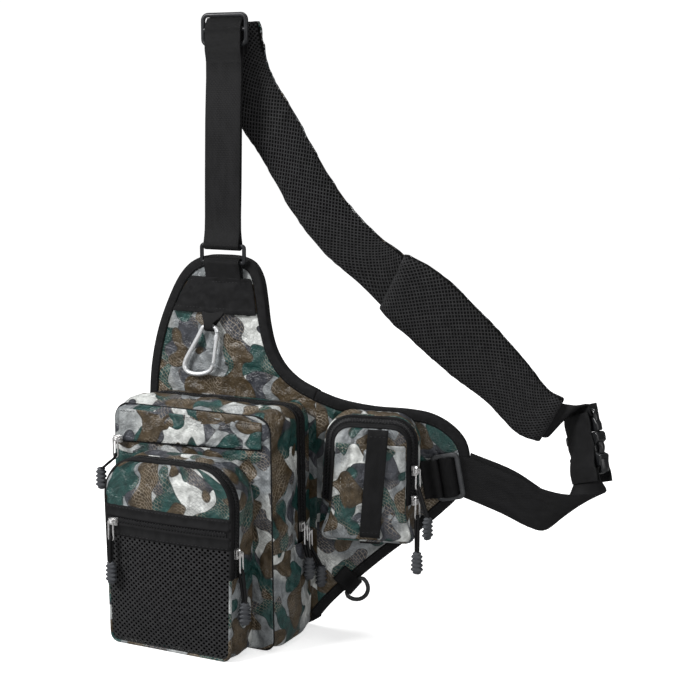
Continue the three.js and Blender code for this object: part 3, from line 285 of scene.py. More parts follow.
axes = wire(weave, "ShaderNodeSeparateXYZ", {0: given["Cloth"]}).outputs
crossing = maths(
    weave, "MULTIPLY", ribs(weave, axes[0], given["Across"]), ribs(weave, axes[1], given["Along"]))
fluff = flat_noise(weave, given["Cloth"], WEAVE_LOOK["fluff"], detail=3.0)
fluff = spread(weave, fluff, *WEAVE_LOOK["range"], 0, WEAVE_LOOK["fluff_share"])
weave.links.new(spread(weave, crossing, -1, 1), result["Height"])
weave.links.new(
    maths(weave, "ADD", spread(weave, crossing, -1, 1, 0, WEAVE_LOOK["rib_share"]), fluff), result["Shade"])

black = {}
for name, made in WEAVES.items():
    finish, tree, shader = new_finish(f"black_{name}", {"Specular IOR Level": WOVEN_FINISH["shine"]})
    woven = wire(tree, "ShaderNodeGroup", node_tree=weave)
    woven.inputs["Across"].default_value, woven.inputs["Along"].default_value = made["pitch"]
    shade, either_way = woven.outputs["Shade"], WOVEN_FINISH["rough_either_way"]
    dark, light = made["tones"]
    tree.links.new(cloth_map(tree), woven.inputs["Cloth"])
    tree.links.new(mixed(tree, shade, dye(dark), dye(light)), shader.inputs["Base Color"])
    tree.links.new(spread(tree, shade, 0, 1, made["rough"] - either_way, made["rough"] + either_way),
                   shader.inputs["Roughness"])
    bump = wire(tree, "ShaderNodeBump", {
        "Height": woven.outputs["Height"], "Strength": made["lift"], "Distance": WOVEN_FINISH["depth"]})
    tree.links.new(bump.outputs[0], shader.inputs["Normal"])
    black[name] = finish


# Back panel and hip wing
# Two foam-filled panels in printed nylon, sewn together along a slanted seam.
# The wing turns back round the hip, and the rear faces are padded air mesh against the body.
WING_SEAM, WING_TURN = 92, math.radians(20)
ON_WING = IN_BAG @ Matrix.Translation((WING_SEAM, 0, 0)) @ Matrix.Rotation(WING_TURN, 4, "Z")
PANEL = {
    "front": -0.2, "rear": 6.2, "tuck": 2.0, "voxel": 4.0, "swell": 5.0, "cap": 1.3, "lap": 4.0, "fill": 0.7,
    "lined_from": 0.3,
}
AIR_MESH = {"cell": 4.6, "strand": 1.5, "thick": 0.5, "margin": 4.0, "off": 0.35, "ahead": (0, -500, 150)}
CLOTH = {"quality": 6, "mass": 0.2, "stretch": 12, "shear": 6, "bend": 0.15}
SETTLE_FRAMES, SWELL_FRAMES = 14, 20
BACK_EDGE = [
    (92, 9), (82, 3), (66, 0), (0, 0), (-68, 0), (-84, 4), (-92, 15), (-94, 50), (-94, 120), (-94, 200),
    (-91, 240), (-83, 275), (-71, 305), (-57, 330), (-44, 343), (-28, 350), (-8, 351.5), (12, 350.5),
    (25, 345), (33, 332), (37, 311), (40, 288), (46, 266), (56, 250), (71, 238), (92, 229),
]
WING_EDGE = [
    (0, 229), (21, 221), (53, 215), (86, 213), (107, 209), (125, 199), (138, 184), (142, 163), (135, 137),
    (115, 115), (87, 91), (59, 68), (30, 42), (12, 24), (0, 9),
]
EDGE_SUBSTEPS = 4


def smooth_line(points, substeps):
    """Even curve through the points, with so many stretches between each two."""
    points = [Vector(p) for p in points]
    ends = [2 * points[0] - points[1], *points, 2 * points[-1] - points[-2]]
    line = []
    for p0, p1, p2, p3 in zip(ends, ends[1:], ends[2:], ends[3:]):
        d0, d1, d2 = (max((b - a).length, 1e-4) ** 0.5 for a, b in ((p0, p1), (p1, p2), (p2, p3)))
        first = ((p1 - p0) / d0 - (p2 - p0) / (d0 + d1) + (p2 - p1) / d1) * d1
        last = ((p2 - p1) / d1 - (p3 - p1) / (d1 + d2) + (p3 - p2) / d2) * d1
        line += geometry.interpolate_bezier(p1, p1 + first / 3, p2 - last / 3, p2, substeps + 1)[:-1]
    return [*line, points[-1]]


def edge_line(table):
    """Smoothed edge in x and z, anticlockwise from the front, as points with y 0."""
    return smooth_line([(x, 0, z) for x, z in table], EDGE_SUBSTEPS)[::-1]


def lengths_along(line):
    """Length gone at each point of a line."""
    gone = [0.0]
    for a, b in zip(line, line[1:]):
        gone.append(gone[-1] + (b - a).length)
    return gone


def walker(line):
    """A walk along a line: from a share of its length to the point there and the direction of travel."""
    marks = lengths_along(line)

    def at(share):
        gone = min(max(share, 0), 1) * marks[-1]
        i = min(max(bisect.bisect_left(marks, gone), 1), len(line) - 1)
        part = (gone - marks[i - 1]) / max(marks[i] - marks[i - 1], 1e-9)
        before, after = line[max(i - 2, 0)], line[min(i + 1, len(line) - 1)]
        return line[i - 1].lerp(line[i], part), (after - before).normalized()

    at.length = marks[-1]
    return at


def outward(direction):
    """Outward side of a line that runs anticlockwise in x and z."""
    return Vector((direction.z, 0, -direction.x)).normalized()


def make_piece(name, bm, where, finish, nodes=(), body="bag", inside=None, thick=0.0, level=-1,
               sharp=45):
    """Places a drawn mesh and makes it a piece of the bag. Its faces look away from the point inside."""
    bmesh.ops.transform(bm, matrix=where, verts=bm.verts[:])
    if inside is None:
        bmesh.ops.recalc_face_normals(bm, faces=bm.faces[:])
    else:
        core = where @ Vector(inside)
        bm.normal_update()
        if sum(f.normal.dot(f.calc_center_median() - core) * f.calc_area() for f in bm.faces) < 0:
            bmesh.ops.reverse_faces(bm, faces=bm.faces[:])
    mesh = bpy.data.meshes.new(name)
    bm.to_mesh(mesh)
    bm.free()
    mesh.shade_smooth()
    mesh.set_sharp_from_angle(angle=math.radians(sharp))
    mesh.materials.append(finish)
    piece = bpy.data.objects.new(name, mesh)
    scene.collection.objects.link(piece)
    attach(piece, body)
    if nodes:
        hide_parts(*nodes)
    if thick:
        walled(piece, thick, level)
    return piece


def walled(piece, thick, level=-1):
    """Gives a surface its thickness, inward from it (-1) or to both sides (0)."""
    wall = piece.modifiers.new("thickness", "SOLIDIFY")
    wall.thickness, wall.offset = thick / 1000, level


def subdivided(piece):
    finer = piece.modifiers.new("finer", "SUBSURF")
    finer.levels = finer.render_levels = 1


def settle(piece, slack=0.0, swell=0.0, cap=3.0, frames=SETTLE_FRAMES, sewn=()):
    """Lets a piece move as cloth held along its sewn edge. No point ends up further away than the cap."""
    before = [v.co.copy() for v in piece.data.vertices]
    held = piece.vertex_groups.new(name="sewn")
    held.add(list(sewn), 1, "REPLACE")
    moving = piece.modifiers.new("settle", "CLOTH")
    fabric = moving.settings
    fabric.quality, fabric.mass = CLOTH["quality"], CLOTH["mass"]
    fabric.tension_stiffness = fabric.compression_stiffness = CLOTH["stretch"]
    fabric.shear_stiffness, fabric.bending_stiffness = CLOTH["shear"], CLOTH["bend"]
    fabric.vertex_group_mass = "sewn"
    fabric.shrink_min = -slack
    fabric.use_pressure, fabric.uniform_pressure_force = swell > 0, swell
    fabric.effector_weights.gravity = 0
    moving.collision_settings.use_collision = False
    moving.point_cache.frame_start, moving.point_cache.frame_end = 1, frames
    for step in range(1, frames + 1):
        scene.frame_set(step)
    settled = piece.evaluated_get(bpy.context.evaluated_depsgraph_get()).data
    after = [v.co.copy() for v in settled.vertices]
    piece.modifiers.remove(moving)
    piece.vertex_groups.remove(held)
    scene.frame_set(1)
    for v, was, now in zip(piece.data.vertices, before, after):
        move = now - was
        v.co = was + move * min(1, cap / 1000 / max(move.length, 1e-9))
    piece.data.update()


def stuff(piece, voxel, swell, cap):
    """Remeshes a padded piece evenly and swells it as cloth over foam."""
    even = piece.modifiers.new("even", "REMESH")
    even.mode, even.voxel_size = "VOXEL", voxel / 1000
    evaluated = piece.evaluated_get(bpy.context.evaluated_depsgraph_get())
    mesh = bpy.data.meshes.new_from_object(evaluated)
    piece.modifiers.remove(even)
    old, piece.data = piece.data, mesh
    mesh.name = piece.name
    bpy.data.meshes.remove(old)
    mesh.shade_smooth()
    settle(piece, swell=swell, cap=cap, frames=SWELL_FRAMES)


def flat_map(piece, where, cut):
    """Cloth map of a panel, straight through it: x and z of the frame it was drawn in, in metres."""
    back = where.inverted()
    layer = piece.data.uv_layers.new(name="cloth")
    for loop in piece.data.loops:
        p = back @ piece.data.vertices[loop.vertex_index].co
        layer.data[loop.index].uv = (p.x / 1000 + cut[0], p.z / 1000 + cut[1])


def surface_tree(piece, where):
    """Search tree of a piece's surface in the frame it was drawn in."""
    back = where.inverted()
    return BVHTree.FromPolygons([back @ v.co for v in piece.data.vertices],
                                [list(f.vertices) for f in piece.data.polygons])


def skin(columns, rows, surface, flat=(1, 1), cut=(0, 0), weld=False, fill=False):
    """A grid laid on a surface. Its cloth map has its flat size in millimetres and starts at the cut."""
    bm = bmesh.new()
    layer = bm.loops.layers.uv.new("cloth")
    bmesh.ops.create_grid(bm, x_segments=columns, y_segments=rows, size=0.5, calc_uvs=True)
    for v in bm.verts:
        v.co = surface(v.co.x + 0.5, v.co.y + 0.5)
    for face in bm.faces:
        for loop in face.loops:
            u, v = loop[layer].uv
            loop[layer].uv = (cut[0] + u * flat[0] / 1000, cut[1] + v * flat[1] / 1000)
    if weld:
        bmesh.ops.remove_doubles(bm, verts=bm.verts[:], dist=0.01)
    if fill:
        bmesh.ops.holes_fill(bm, edges=[e for e in bm.edges if e.is_boundary])
    return bm


def open_net(bm, strand, keep=None):
    """Turns a grid of squares into a diamond net with strands of that width; keep says which holes stay."""
    squares = [e for e in bm.edges if not e.is_boundary]
    bmesh.ops.poke(bm, faces=bm.faces[:])
    bmesh.ops.dissolve_edges(bm, edges=squares)
    if keep:
        bmesh.ops.delete(bm, geom=[f for f in bm.faces if not keep(f.calc_center_median())], context="FACES")
    holes = bm.faces[:]
    bmesh.ops.inset_individual(bm, faces=holes, thickness=strand / 2, use_even_offset=True)
    bmesh.ops.delete(bm, geom=holes, context="FACES")


def in_outline(line, x, z):
    """Whether a point lies inside a closed line in x and z."""
    inside = False
    for a, b in zip(line, [*line[1:], line[0]]):
        if (a.z > z) != (b.z > z) and x < a.x + (z - a.z) / (b.z - a.z) * (b.x - a.x):
            inside = not inside
    return inside


def tucked(line, distance):
    """A line moved inward by a distance."""
    at = walker(line)
    steps = len(line) - 1
    moved_in = []
    for i in range(steps + 1):
        p, way = at(i / steps)
        moved_in.append(p - outward(way) * distance)
    return moved_in


def extruded(bm, outline, depth):
    """Raises a flat outline along y into a closed plate."""
    face = bm.faces.new([bm.verts.new(p) for p in outline])
    raised = bmesh.ops.extrude_face_region(bm, geom=[face])["geom"]
    corners = [part for part in raised if isinstance(part, bmesh.types.BMVert)]
    bmesh.ops.translate(bm, vec=(0, depth, 0), verts=corners)


def padded_panel(name, table, where, cut, lap):
    line = tucked(edge_line(table), PANEL["tuck"])
    for end in (0, -1):
        line[end] = line[end] + Vector((lap, 0, 0))
    bm = bmesh.new()
    extruded(bm, [(p.x, PANEL["front"], p.z) for p in line], PANEL["rear"] - PANEL["front"])
    piece = make_piece(name, bm, where, camo_nylon, [name])
    stuff(piece, PANEL["voxel"], PANEL["swell"], PANEL["cap"])
    piece.data.materials.append(black["lining"])
    flat_map(piece, where, cut)
    rearward = where.to_3x3().normalized() @ Vector((0, 1, 0))
    for face in piece.data.polygons:
        face.material_index = 1 if face.normal.dot(rearward) > PANEL["lined_from"] else 0
    subdivided(piece)
    return piece


def rear_net(name, pad, table, where):
    """Air mesh over the rear of a padded panel, laid on the pad's own surface."""
    line = tucked(edge_line(table), AIR_MESH["margin"])
    low = Vector((min(p.x for p in line), 0, min(p.z for p in line)))
    high = Vector((max(p.x for p in line), 0, max(p.z for p in line)))
    wide, tall = high.x - low.x, high.z - low.z
    cells = (round(wide / AIR_MESH["cell"]), round(tall / AIR_MESH["cell"]))
    bm = skin(*cells, lambda u, v: (low.x + u * wide, 0, low.z + v * tall), (wide, tall))
    open_net(bm, AIR_MESH["strand"], lambda p: in_outline(line, p.x, p.z))
    tree = surface_tree(pad, where)
    behind = 10 * PANEL["rear"]
    for v in bm.verts:
        hit = tree.ray_cast(Vector((v.co.x, behind, v.co.z)), Vector((0, -1, 0)))[0]
        v.co.y = (hit.y if hit else PANEL["rear"]) + AIR_MESH["off"]
    make_piece(name, bm, where, black["net_thread"], inside=AIR_MESH["ahead"],
               thick=AIR_MESH["thick"])


back_panel = padded_panel("back_panel", BACK_EDGE, IN_BAG, (0.31, 0.12), PANEL["lap"])
hip_wing = padded_panel("hip_wing", WING_EDGE, ON_WING, (0.83, 0.47), -PANEL["lap"])
rear_net("back_net", back_panel, BACK_EDGE, IN_BAG)
rear_net("wing_net", hip_wing, WING_EDGE, ON_WING)


# Bindings
# Black grosgrain tape folded over the edge of each panel and sewn through near its inner edge.
BINDING = {"columns": 260, "thick": 0.5, "wide": 32, "ripple": 0.25, "ripple_scale": 0.12}
TAPE_FOLD = [
    (9.6, -0.9), (8, -1.5), (5, -1.75), (2, -1.7), (0.6, -1.2), (0, 0),
    (0, 6), (0.6, 7.2), (2, 7.7), (5, 7.75), (8, 7.5), (9.6, 6.9),
]
STITCH = {"pitch": 3.6, "length": 2.3, "width": 0.55, "inset": 7.6, "level": -1.75}
AHEAD = Vector((0, -1, 0))


def flecked(name, tones, scale, detail, constants):
    """A plain finish with a fine fleck in two tones; also gives its tree, its shader and the fleck."""
    finish, tree, shader = new_finish(name, constants)
    place = wire(tree, "ShaderNodeTexCoord").outputs["Object"]
    fleck = wire(tree, "ShaderNodeTexNoise", {"Vector": place, "Scale": scale, "Detail": detail}).outputs[0]
    tree.links.new(mixed(tree, fleck, dye(tones[0]), dye(tones[1])), shader.inputs["Base Color"])
    return finish, tree, shader, fleck


thread = flecked("black_thread", ("1c1c1d", "343436"), 900.0, 1.0, {
    "Roughness": 0.55, "Specular IOR Level": 0.2})[0]


def shares(count):
    """Even steps from 0 to 1."""
    return [k / count for k in range(count + 1)]


def stitched(name, rows, where, facing=AHEAD, finish=thread):
    """Rows of stitches, each along a line of points on cloth that faces a way."""
    bm = bmesh.new()
    size = Matrix.Diagonal((STITCH["length"] / 2, STITCH["width"] / 2, STITCH["width"] / 2, 1))
    for row in rows:
        at = walker(row)
        count = int(at.length / STITCH["pitch"])
        for i in range(count):
            p, way = at((i + 0.5) / count)
            turn = Matrix((way, facing.cross(way).normalized(), facing)).transposed().to_4x4()
            placed = Matrix.Translation(p) @ turn @ size
            bmesh.ops.create_icosphere(bm, subdivisions=1, radius=1.0, matrix=placed)
    make_piece(name, bm, where, finish)


def bound_edge(name, table, where):
    at = walker(edge_line(table))
    rows = len(TAPE_FOLD) - 1

    def surface(u, v):
        p, way = at(u)
        inset, y = TAPE_FOLD[round(v * rows)]
        ripple = BINDING["ripple"] * noise.noise(p * BINDING["ripple_scale"]) if inset > 1 else 0
        return p - outward(way) * inset + Vector((0, y - ripple, 0))

    bm = skin(BINDING["columns"], rows, surface, (at.length, BINDING["wide"]))
    make_piece(name, bm, where, black["tape"], [name], thick=BINDING["thick"], level=0)
    row = [p + Vector((0, STITCH["level"], 0)) for p in tucked(edge_line(table), STITCH["inset"])]
    stitched(name + "_stitches", [row], where)


bound_edge("panel_binding", BACK_EDGE, IN_BAG)
bound_edge("wing_binding", WING_EDGE, ON_WING)


# Main compartment
# A box of printed nylon: a front panel, an arched band, and a base band under them up to the zip's ends.
# The zip runs over the top between the arched band and a narrow rear band. The front seam has taped piping.
MAIN = {
    "middle": 0, "base": 0, "bottom": 170, "top": 166, "height": 217, "top_radius": 15, "bottom_radius": 10,
}
MAIN_DEPTH = {"panel": -1.4, "zip_rear": -10.0, "zip_front": -25.0, "front": -74.0, "face": -75.9}
MAIN_SEAM, MAIN_SWELL, MAIN_CORE = 90, 4.0, (0, -37, 100)
MAIN_FACE = {"bulge": 0.8, "ripple": 0.9, "waves": (0.03, 4.0, 0.05)}
MAIN_PIPING = {"radius": 0.8, "behind": 0.9}
SEAM_BOW = {"least": 0.3, "swell": 3.6}
CLOTH_WALL, TAPE_WALL = 0.9, 0.6
CLOTH_CELL, FULLNESS, NARROWEST = 3, (1.02, 1.15), 0.01
BAND = {"roundness": 0.8, "round_waves": 0.045, "deep_waves": 0.07}
ZIP_FOLD = [
    (0, 0), (0.05, 0.9), (0.13, 1.1), (0.2, 0.9), (0.24, 0.1), (0.4, 0),
    (0.6, 0), (0.76, 0.1), (0.8, 0.9), (0.87, 1.1), (0.95, 0.9), (1, 0),
]
TEETH = {"pitch": 1.5, "size": (1.0, 3.6, 1.3), "lift": 0.5, "stagger": 0.5, "bevel": 0.25}
CREASE = {
    "slant": Matrix(((1.3, 0, 0.6), (0, 1, 0), (-0.4, 0, 1.5))), "per_metre": 26.0, "sharp": 3.2,
    "ridge_shift": Vector((2.3, 7.1, 4.9)), "bend": 0.6, "bend_scale": 0.7,
    "dent_shift": Vector((9.4, 1.2, 3.3)), "dent_scale": 0.6, "at_seam": 0.35,
    "ridge": 0.75, "dent": 0.55, "level": -0.35, "seed": 1,
}
noise.seed_set(CREASE["seed"])
zip_nylon, tree, shader, spot = flecked(
    "zip_nylon", ("161617", "252527"), 300.0, 2.0, {"Specular IOR Level": 0.35})
tree.links.new(spread(tree, spot, 0.3, 0.7, 0.3, 0.5), shader.inputs["Roughness"])


def half_width(size, z):
    """Half the width of a rounded outline at a level."""
    low, high = size["base"] + size["bottom_radius"], size["base"] + size["height"] - size["top_radius"]
    share = min(max((z - low) / (high - low), 0), 1)
    radius = size["bottom_radius"] if z < low else size["top_radius"]
    into = min(max(low - z, z - high, 0), radius)
    side = (size["bottom"] + (size["top"] - size["bottom"]) * share) / 2
    return side - radius + math.sqrt(radius * radius - into * into)


def rim(size, inset=0.0):
    """Rounded outline in x and z, anticlockwise from the front, round from the middle of the bottom."""
    low, high = size["base"], size["base"] + size["height"]
    levels = [low + (high - low) * (1 - math.cos(math.pi * k)) / 2 for k in shares(90)]
    right = [Vector((size["middle"] + half_width(size, z), 0, z)) for z in levels]
    left = [Vector((size["middle"] - half_width(size, z), 0, z)) for z in reversed(levels)]
    flat = [size["middle"] + half_width(size, low) * k for k in shares(12)]
    start = [Vector((x, 0, low)) for x in flat[:-1]]
    finish = [Vector((2 * size["middle"] - x, 0, low)) for x in reversed(flat[:-1])]
    reach = half_width(size, high)
    top = [Vector((size["middle"] + reach * (1 - 2 * k), 0, high)) for k in shares(16)[1:-1]]
    line = [*start, *right, *top, *left, *finish]
    return tucked(line, inset) if inset else line


def cut_at(line, level):
    """Where an outline rises through a level and comes down again: each next point's index and the place."""
    ends = []
    for i, (a, b) in enumerate(zip(line, line[1:])):
        if (a.z > level) != (b.z > level):
            ends.append((i + 1, a.lerp(b, (level - a.z) / (b.z - a.z))))
    return ends


def above(line, level):
    """The upper run of an outline, from its right side over the top to its left side."""
    (first, rise), (last, fall) = cut_at(line, level)
    return [rise, *line[first:last], fall]


def below(line, level):
    """The lower run of an outline, from its left side under the bottom to its right side."""
    (first, rise), (last, fall) = cut_at(line, level)
    return [fall, *line[last:], *line[1:first], rise]


def hoop(at, rear, front, swell=0.0, crease=0.0, floor=None):
    """Surface of a cloth band round an outline, from its rear edge to its front edge."""
    across, deep = BAND["round_waves"], BAND["deep_waves"]

    def surface(u, v):
        p, way = at(u)
        rise = swell * math.sin(math.pi * v) ** BAND["roundness"] if 0 < v < 1 else 0.0
        y = rear + (front - rear) * v
        rise += crease * noise.noise(Vector((p.x * across, y * deep, p.z * across))) * math.sin(math.pi * v)
        q = p + outward(way) * rise + Vector((0, y, 0))
        if floor is not None:
            q.z = max(q.z, floor)
        return q
    return surface


def sewn_edge(piece):
    """Vertices along the open edges of a piece, where it is sewn."""
    counts = {}
    for face in piece.data.polygons:
        for key in face.edge_keys:
            counts[key] = counts.get(key, 0) + 1
    return {i for key, n in counts.items() if n == 1 for i in key}


def crease(piece, depth, sewn):
    """Sharp creases and soft dents in cloth, deepest away from its sewn edge; depth in millimetres."""
    normals = [v.normal.copy() for v in piece.data.vertices]
    for v, normal in zip(piece.data.vertices, normals):
        p = CREASE["slant"] @ v.co * CREASE["per_metre"]
        bend = CREASE["bend"] * noise.noise_vector(p * CREASE["bend_scale"])
        ridge = (1 - min(abs(noise.noise(p + CREASE["ridge_shift"] + bend)) * CREASE["sharp"], 1)) ** 2
        dent = noise.noise(p * CREASE["dent_scale"] + CREASE["dent_shift"])
        share = CREASE["at_seam"] if v.index in sewn else 1.0
        rise = CREASE["ridge"] * ridge + CREASE["level"] + CREASE["dent"] * dent
        v.co += normal * (depth * share * rise / 1000)
    piece.data.update()


def cloth_panel(name, bm, where, nodes, inside, slack=0.02, cap=2.5, finish=camo_nylon,
                creased=1.3):
    """A cut of cloth sewn along its edge: settled, creased, given its thickness and declared."""
    piece = make_piece(name, bm, where, finish, nodes, inside=inside)
    sewn = sewn_edge(piece)
    settle(piece, slack=slack, cap=cap, sewn=sewn)
    crease(piece, creased, sewn)
    subdivided(piece)
    walled(piece, CLOTH_WALL)


def band_piece(name, line, rear, front, nodes, inside, cut, swell=0.0, floor=None, slack=0.02, crease=1.0):
    at = walker(line)
    deep = abs(front - rear)
    columns, rows = round(at.length / CLOTH_CELL), max(round(deep / CLOTH_CELL), 3)
    bm = skin(columns, rows, hoop(at, rear, front, swell, crease, floor), (at.length, deep), cut)
    cloth_panel(name, bm, IN_BAG, nodes, inside, slack)


def coil(name, where, teeth):
    """The coil of a closed zip: a row of small rounded blocks, each where its matrix puts it."""
    bm = bmesh.new()
    size = Matrix.Diagonal((*TEETH["size"], 1))
    for tooth in teeth:
        bmesh.ops.create_cube(bm, size=1.0, matrix=tooth @ size)
    bmesh.ops.bevel(bm, geom=bm.edges[:], offset=TEETH["bevel"], affect="EDGES", segments=1, profile=0.5,
                    material=-1)
    make_piece(name, bm, where, zip_nylon, sharp=70)


def zip_along(name, where, nodes, inside, flow, length, width):
    """A closed coil zip between two folded tapes. flow gives a point and the ways along, across and out."""
    rows = len(ZIP_FOLD) - 1

    def surface(u, v):
        share, rise = ZIP_FOLD[round(v * rows)]
        p, way, side, out = flow(u, share)
        return p + out * rise

    bm = skin(max(round(length / CLOTH_CELL), 4), rows, surface, (length, width))
    make_piece(name, bm, where, black["tape"], nodes, inside=inside, thick=TAPE_WALL)
    teeth = []
    count = int(length / TEETH["pitch"])
    for i in range(count):
        p, way, side, out = flow((i + 0.5) / count, 0.5)
        turn = Matrix((way, side, out)).transposed().to_4x4()
        stagger = TEETH["stagger"] if i % 2 else -TEETH["stagger"]
        teeth.append(Matrix.Translation(p + out * TEETH["lift"] + side * stagger) @ turn)
    coil(name + "_coil", where, teeth)


def round_flow(at, rear, front):
    """Flow of a zip that runs round an outline, its width from the rear to the front."""
    def flow(u, share):
        p, way = at(u)
        return p + Vector((0, rear + (front - rear) * share, 0)), way, Vector((0, 1, 0)), outward(way)
    return flow


def piping(name, line, y, radius, where, finish, cut=(0, 0), closed=False):
    """A narrow piped seam along a line at one depth."""
    at = walker(line)

    def surface(u, v):
        p, way = at(u)
        angle = v * math.tau
        return p + outward(way) * radius * math.cos(angle) + Vector((0, y + radius * math.sin(angle), 0))

    columns = round(at.length / CLOTH_CELL)
    bm = skin(columns, 8, surface, (at.length, radius * 6), cut, weld=True, fill=not closed)
    make_piece(name, bm, where, finish)


def ripple_at(x, z, waves):
    """Soft noise at a point of an upright panel; waves holds its scale in x, a slice and its scale in z."""
    return noise.noise(Vector((x * waves[0], waves[1], z * waves[2])))


def standing_panel(middle, half, low, high, depth):
    """Surface of an upright panel: half gives half its width at a level, depth gives y at x and z."""
    def surface(u, v):
        z = low + (high - low) * v
        x = middle + half(z) * (2 * u - 1)
        return Vector((x, depth(x, z), z))
    return surface


def main_half(z):
    return half_width(MAIN, z)


def main_depth(x, z):
    edge = (1 - (x / (MAIN["bottom"] / 2)) ** 2) * math.sin(math.pi * min(max(z / MAIN["height"], 0), 1))
    ripple = ripple_at(x, z, MAIN_FACE["waves"])
    return MAIN_DEPTH["face"] - max(edge, 0) * (MAIN_FACE["bulge"] + MAIN_FACE["ripple"] * ripple)


main_line = rim(MAIN)
main_upper, main_lower = above(main_line, MAIN_SEAM), below(main_line, MAIN_SEAM)
main_arch = walker(main_upper)
band_piece("main_rear_band", main_upper, MAIN_DEPTH["panel"], MAIN_DEPTH["zip_rear"], ["rear_gusset"],
           MAIN_CORE, (1.3, 0.2), slack=0.0, crease=0.2)
zip_along("main_zip", IN_BAG, ["main_zip"], MAIN_CORE,
          round_flow(main_arch, MAIN_DEPTH["zip_rear"], MAIN_DEPTH["zip_front"]), main_arch.length,
          MAIN_DEPTH["zip_rear"] - MAIN_DEPTH["zip_front"])
band_piece("main_arched_band", main_upper, MAIN_DEPTH["zip_front"], MAIN_DEPTH["front"], ["main_gusset"],
           MAIN_CORE, (1.7, 0.9), MAIN_SWELL, crease=2.2)
band_piece("main_base_band", main_lower, MAIN_DEPTH["panel"], MAIN_DEPTH["front"], [],
           MAIN_CORE, (2.1, 0.5), MAIN_SWELL, floor=0.0, crease=1.6)
bm = skin(44, 56, standing_panel(MAIN["middle"], main_half, 0, MAIN["height"], main_depth),
          (MAIN["bottom"], MAIN["height"]), (2.6, 0.1))
cloth_panel("main_front", bm, IN_BAG, ["main_front"], MAIN_CORE, slack=0.015, cap=1.5)
piping("main_piping", [*main_line, main_line[0]], MAIN_DEPTH["face"] + MAIN_PIPING["behind"],
       MAIN_PIPING["radius"], IN_BAG, black["tape"], closed=True)
for side, end in ((1, "right"), (-1, "left")):
    seam_line = []
    for share in shares(20):
        reach = main_half(MAIN_SEAM) + SEAM_BOW["least"] + SEAM_BOW["swell"] * math.sin(math.pi * share)
        y = MAIN_DEPTH["panel"] + (MAIN_DEPTH["front"] - MAIN_DEPTH["panel"]) * share
        seam_line.append(Vector((side * reach, y, MAIN_SEAM)))
    stitched(f"main_seam_stitches_{end}", [seam_line], IN_BAG, Vector((side, 0, 0)))


# Storm flap
# A strip of the same nylon sewn across the front panel over a slit pocket's zip; its lower edge stands free.
FLAP = {
    "left": -77, "right": 75, "bottom": 185, "top": 212, "face": -76.6, "lift": 3.2, "hang": 0.7, "slope": 6,
    "scallop": 0.15, "scallops": 9, "ripple": 0.5, "waves": (0.06, 1.5, 0.05), "thick": 1.2, "creased": 1.6,
    "sewn_at": 0.93, "stitch_lift": 0.2,
}
FLAP_WIDTH, FLAP_HEIGHT = FLAP["right"] - FLAP["left"], FLAP["top"] - FLAP["bottom"]
SLIT = {"width": 6, "below": 2, "off": 0.9}


def flap_surface(u, v):
    x = FLAP["left"] + FLAP_WIDTH * u
    z = FLAP["bottom"] + FLAP_HEIGHT * v + (u - 0.5) * FLAP["slope"] * (1 - v)
    scallop = 1 - FLAP["scallop"] + FLAP["scallop"] * math.cos(u * FLAP["scallops"])
    wave = FLAP["ripple"] * ripple_at(x, z, FLAP["waves"]) * (1 - v)
    return Vector((x, FLAP["face"] - FLAP["lift"] * (1 - v) ** FLAP["hang"] * scallop - wave, z))


def slit_flow(u, share):
    x = FLAP["left"] + FLAP_WIDTH * u
    z = FLAP["bottom"] + (u - 0.5) * FLAP["slope"] - SLIT["below"] + SLIT["width"] * share
    return Vector((x, MAIN_DEPTH["face"] - SLIT["off"], z)), Vector((1, 0, 0)), Vector((0, 0, 1)), AHEAD


bm = skin(60, 12, flap_surface, (FLAP_WIDTH, FLAP_HEIGHT), (3.4, 0.7))
flap = make_piece("front_flap", bm, IN_BAG, camo_nylon, ["front_flap"], inside=MAIN_CORE)
crease(flap, FLAP["creased"], sewn_edge(flap))
walled(flap, FLAP["thick"])
zip_along("slit_zip", IN_BAG, [], MAIN_CORE, slit_flow, FLAP_WIDTH, SLIT["width"])
row = [flap_surface(u, FLAP["sewn_at"]) + FLAP["stitch_lift"] * AHEAD for u in shares(40)]
stitched("flap_stitches", [row], IN_BAG)


# Front pocket
# A box pocket on the main front: nylon bands, an arched zip with a piped edge, and a swollen front.
# The front is coarse net over a black lining below, a taped zip in the middle and printed nylon above.
POCKET = {
    "middle": -1, "base": 0, "bottom": 128, "top": 134, "height": 176, "top_radius": 36, "bottom_radius": 8,
}
POCKET_DEPTH = {"rear": -76.2, "zip_rear": -102.2, "front": -114.2, "face": -116.1, "bulge": 5.0}
POCKET_SEAM, POCKET_SWELL, POCKET_CORE = 76, 1.2, (-1, -90, 80)
POCKET_NET = {"wide": 5.4, "tall": 4.8, "strand": 0.85, "thick": 0.7, "low": 1.5, "high": 104, "lining": 7.0}
POCKET_PIPING = {"inset": 0.6, "ahead": 1.2, "arch": 1.7, "base": 1.5}
POCKET_BAND = {"coil": 118, "lift": 1.0, "ends": 4}
BAND_STITCHES = {"levels": (105.2, 130.0), "lift": 1.25, "ends": 2}
POCKET_UPPER = {"low": 130, "high": 175.5, "ripple": 0.5, "waves": (0.05, 2.0, 0.07)}
BAND_FOLD = [
    (103, 0.2), (104, 1.0), (106, 1.1), (107.5, 0.5), (112, 0.5), (113.2, 1.3), (114.6, 1.3), (115.4, 0.5),
    (118, 0.4), (120.6, 0.5), (121.4, 1.3), (122.8, 1.3), (124, 0.6), (128, 0.6), (129, 1.1), (131, 1.0),
    (132, 0.2),
]


def pocket_half(z):
    return half_width(POCKET, z)


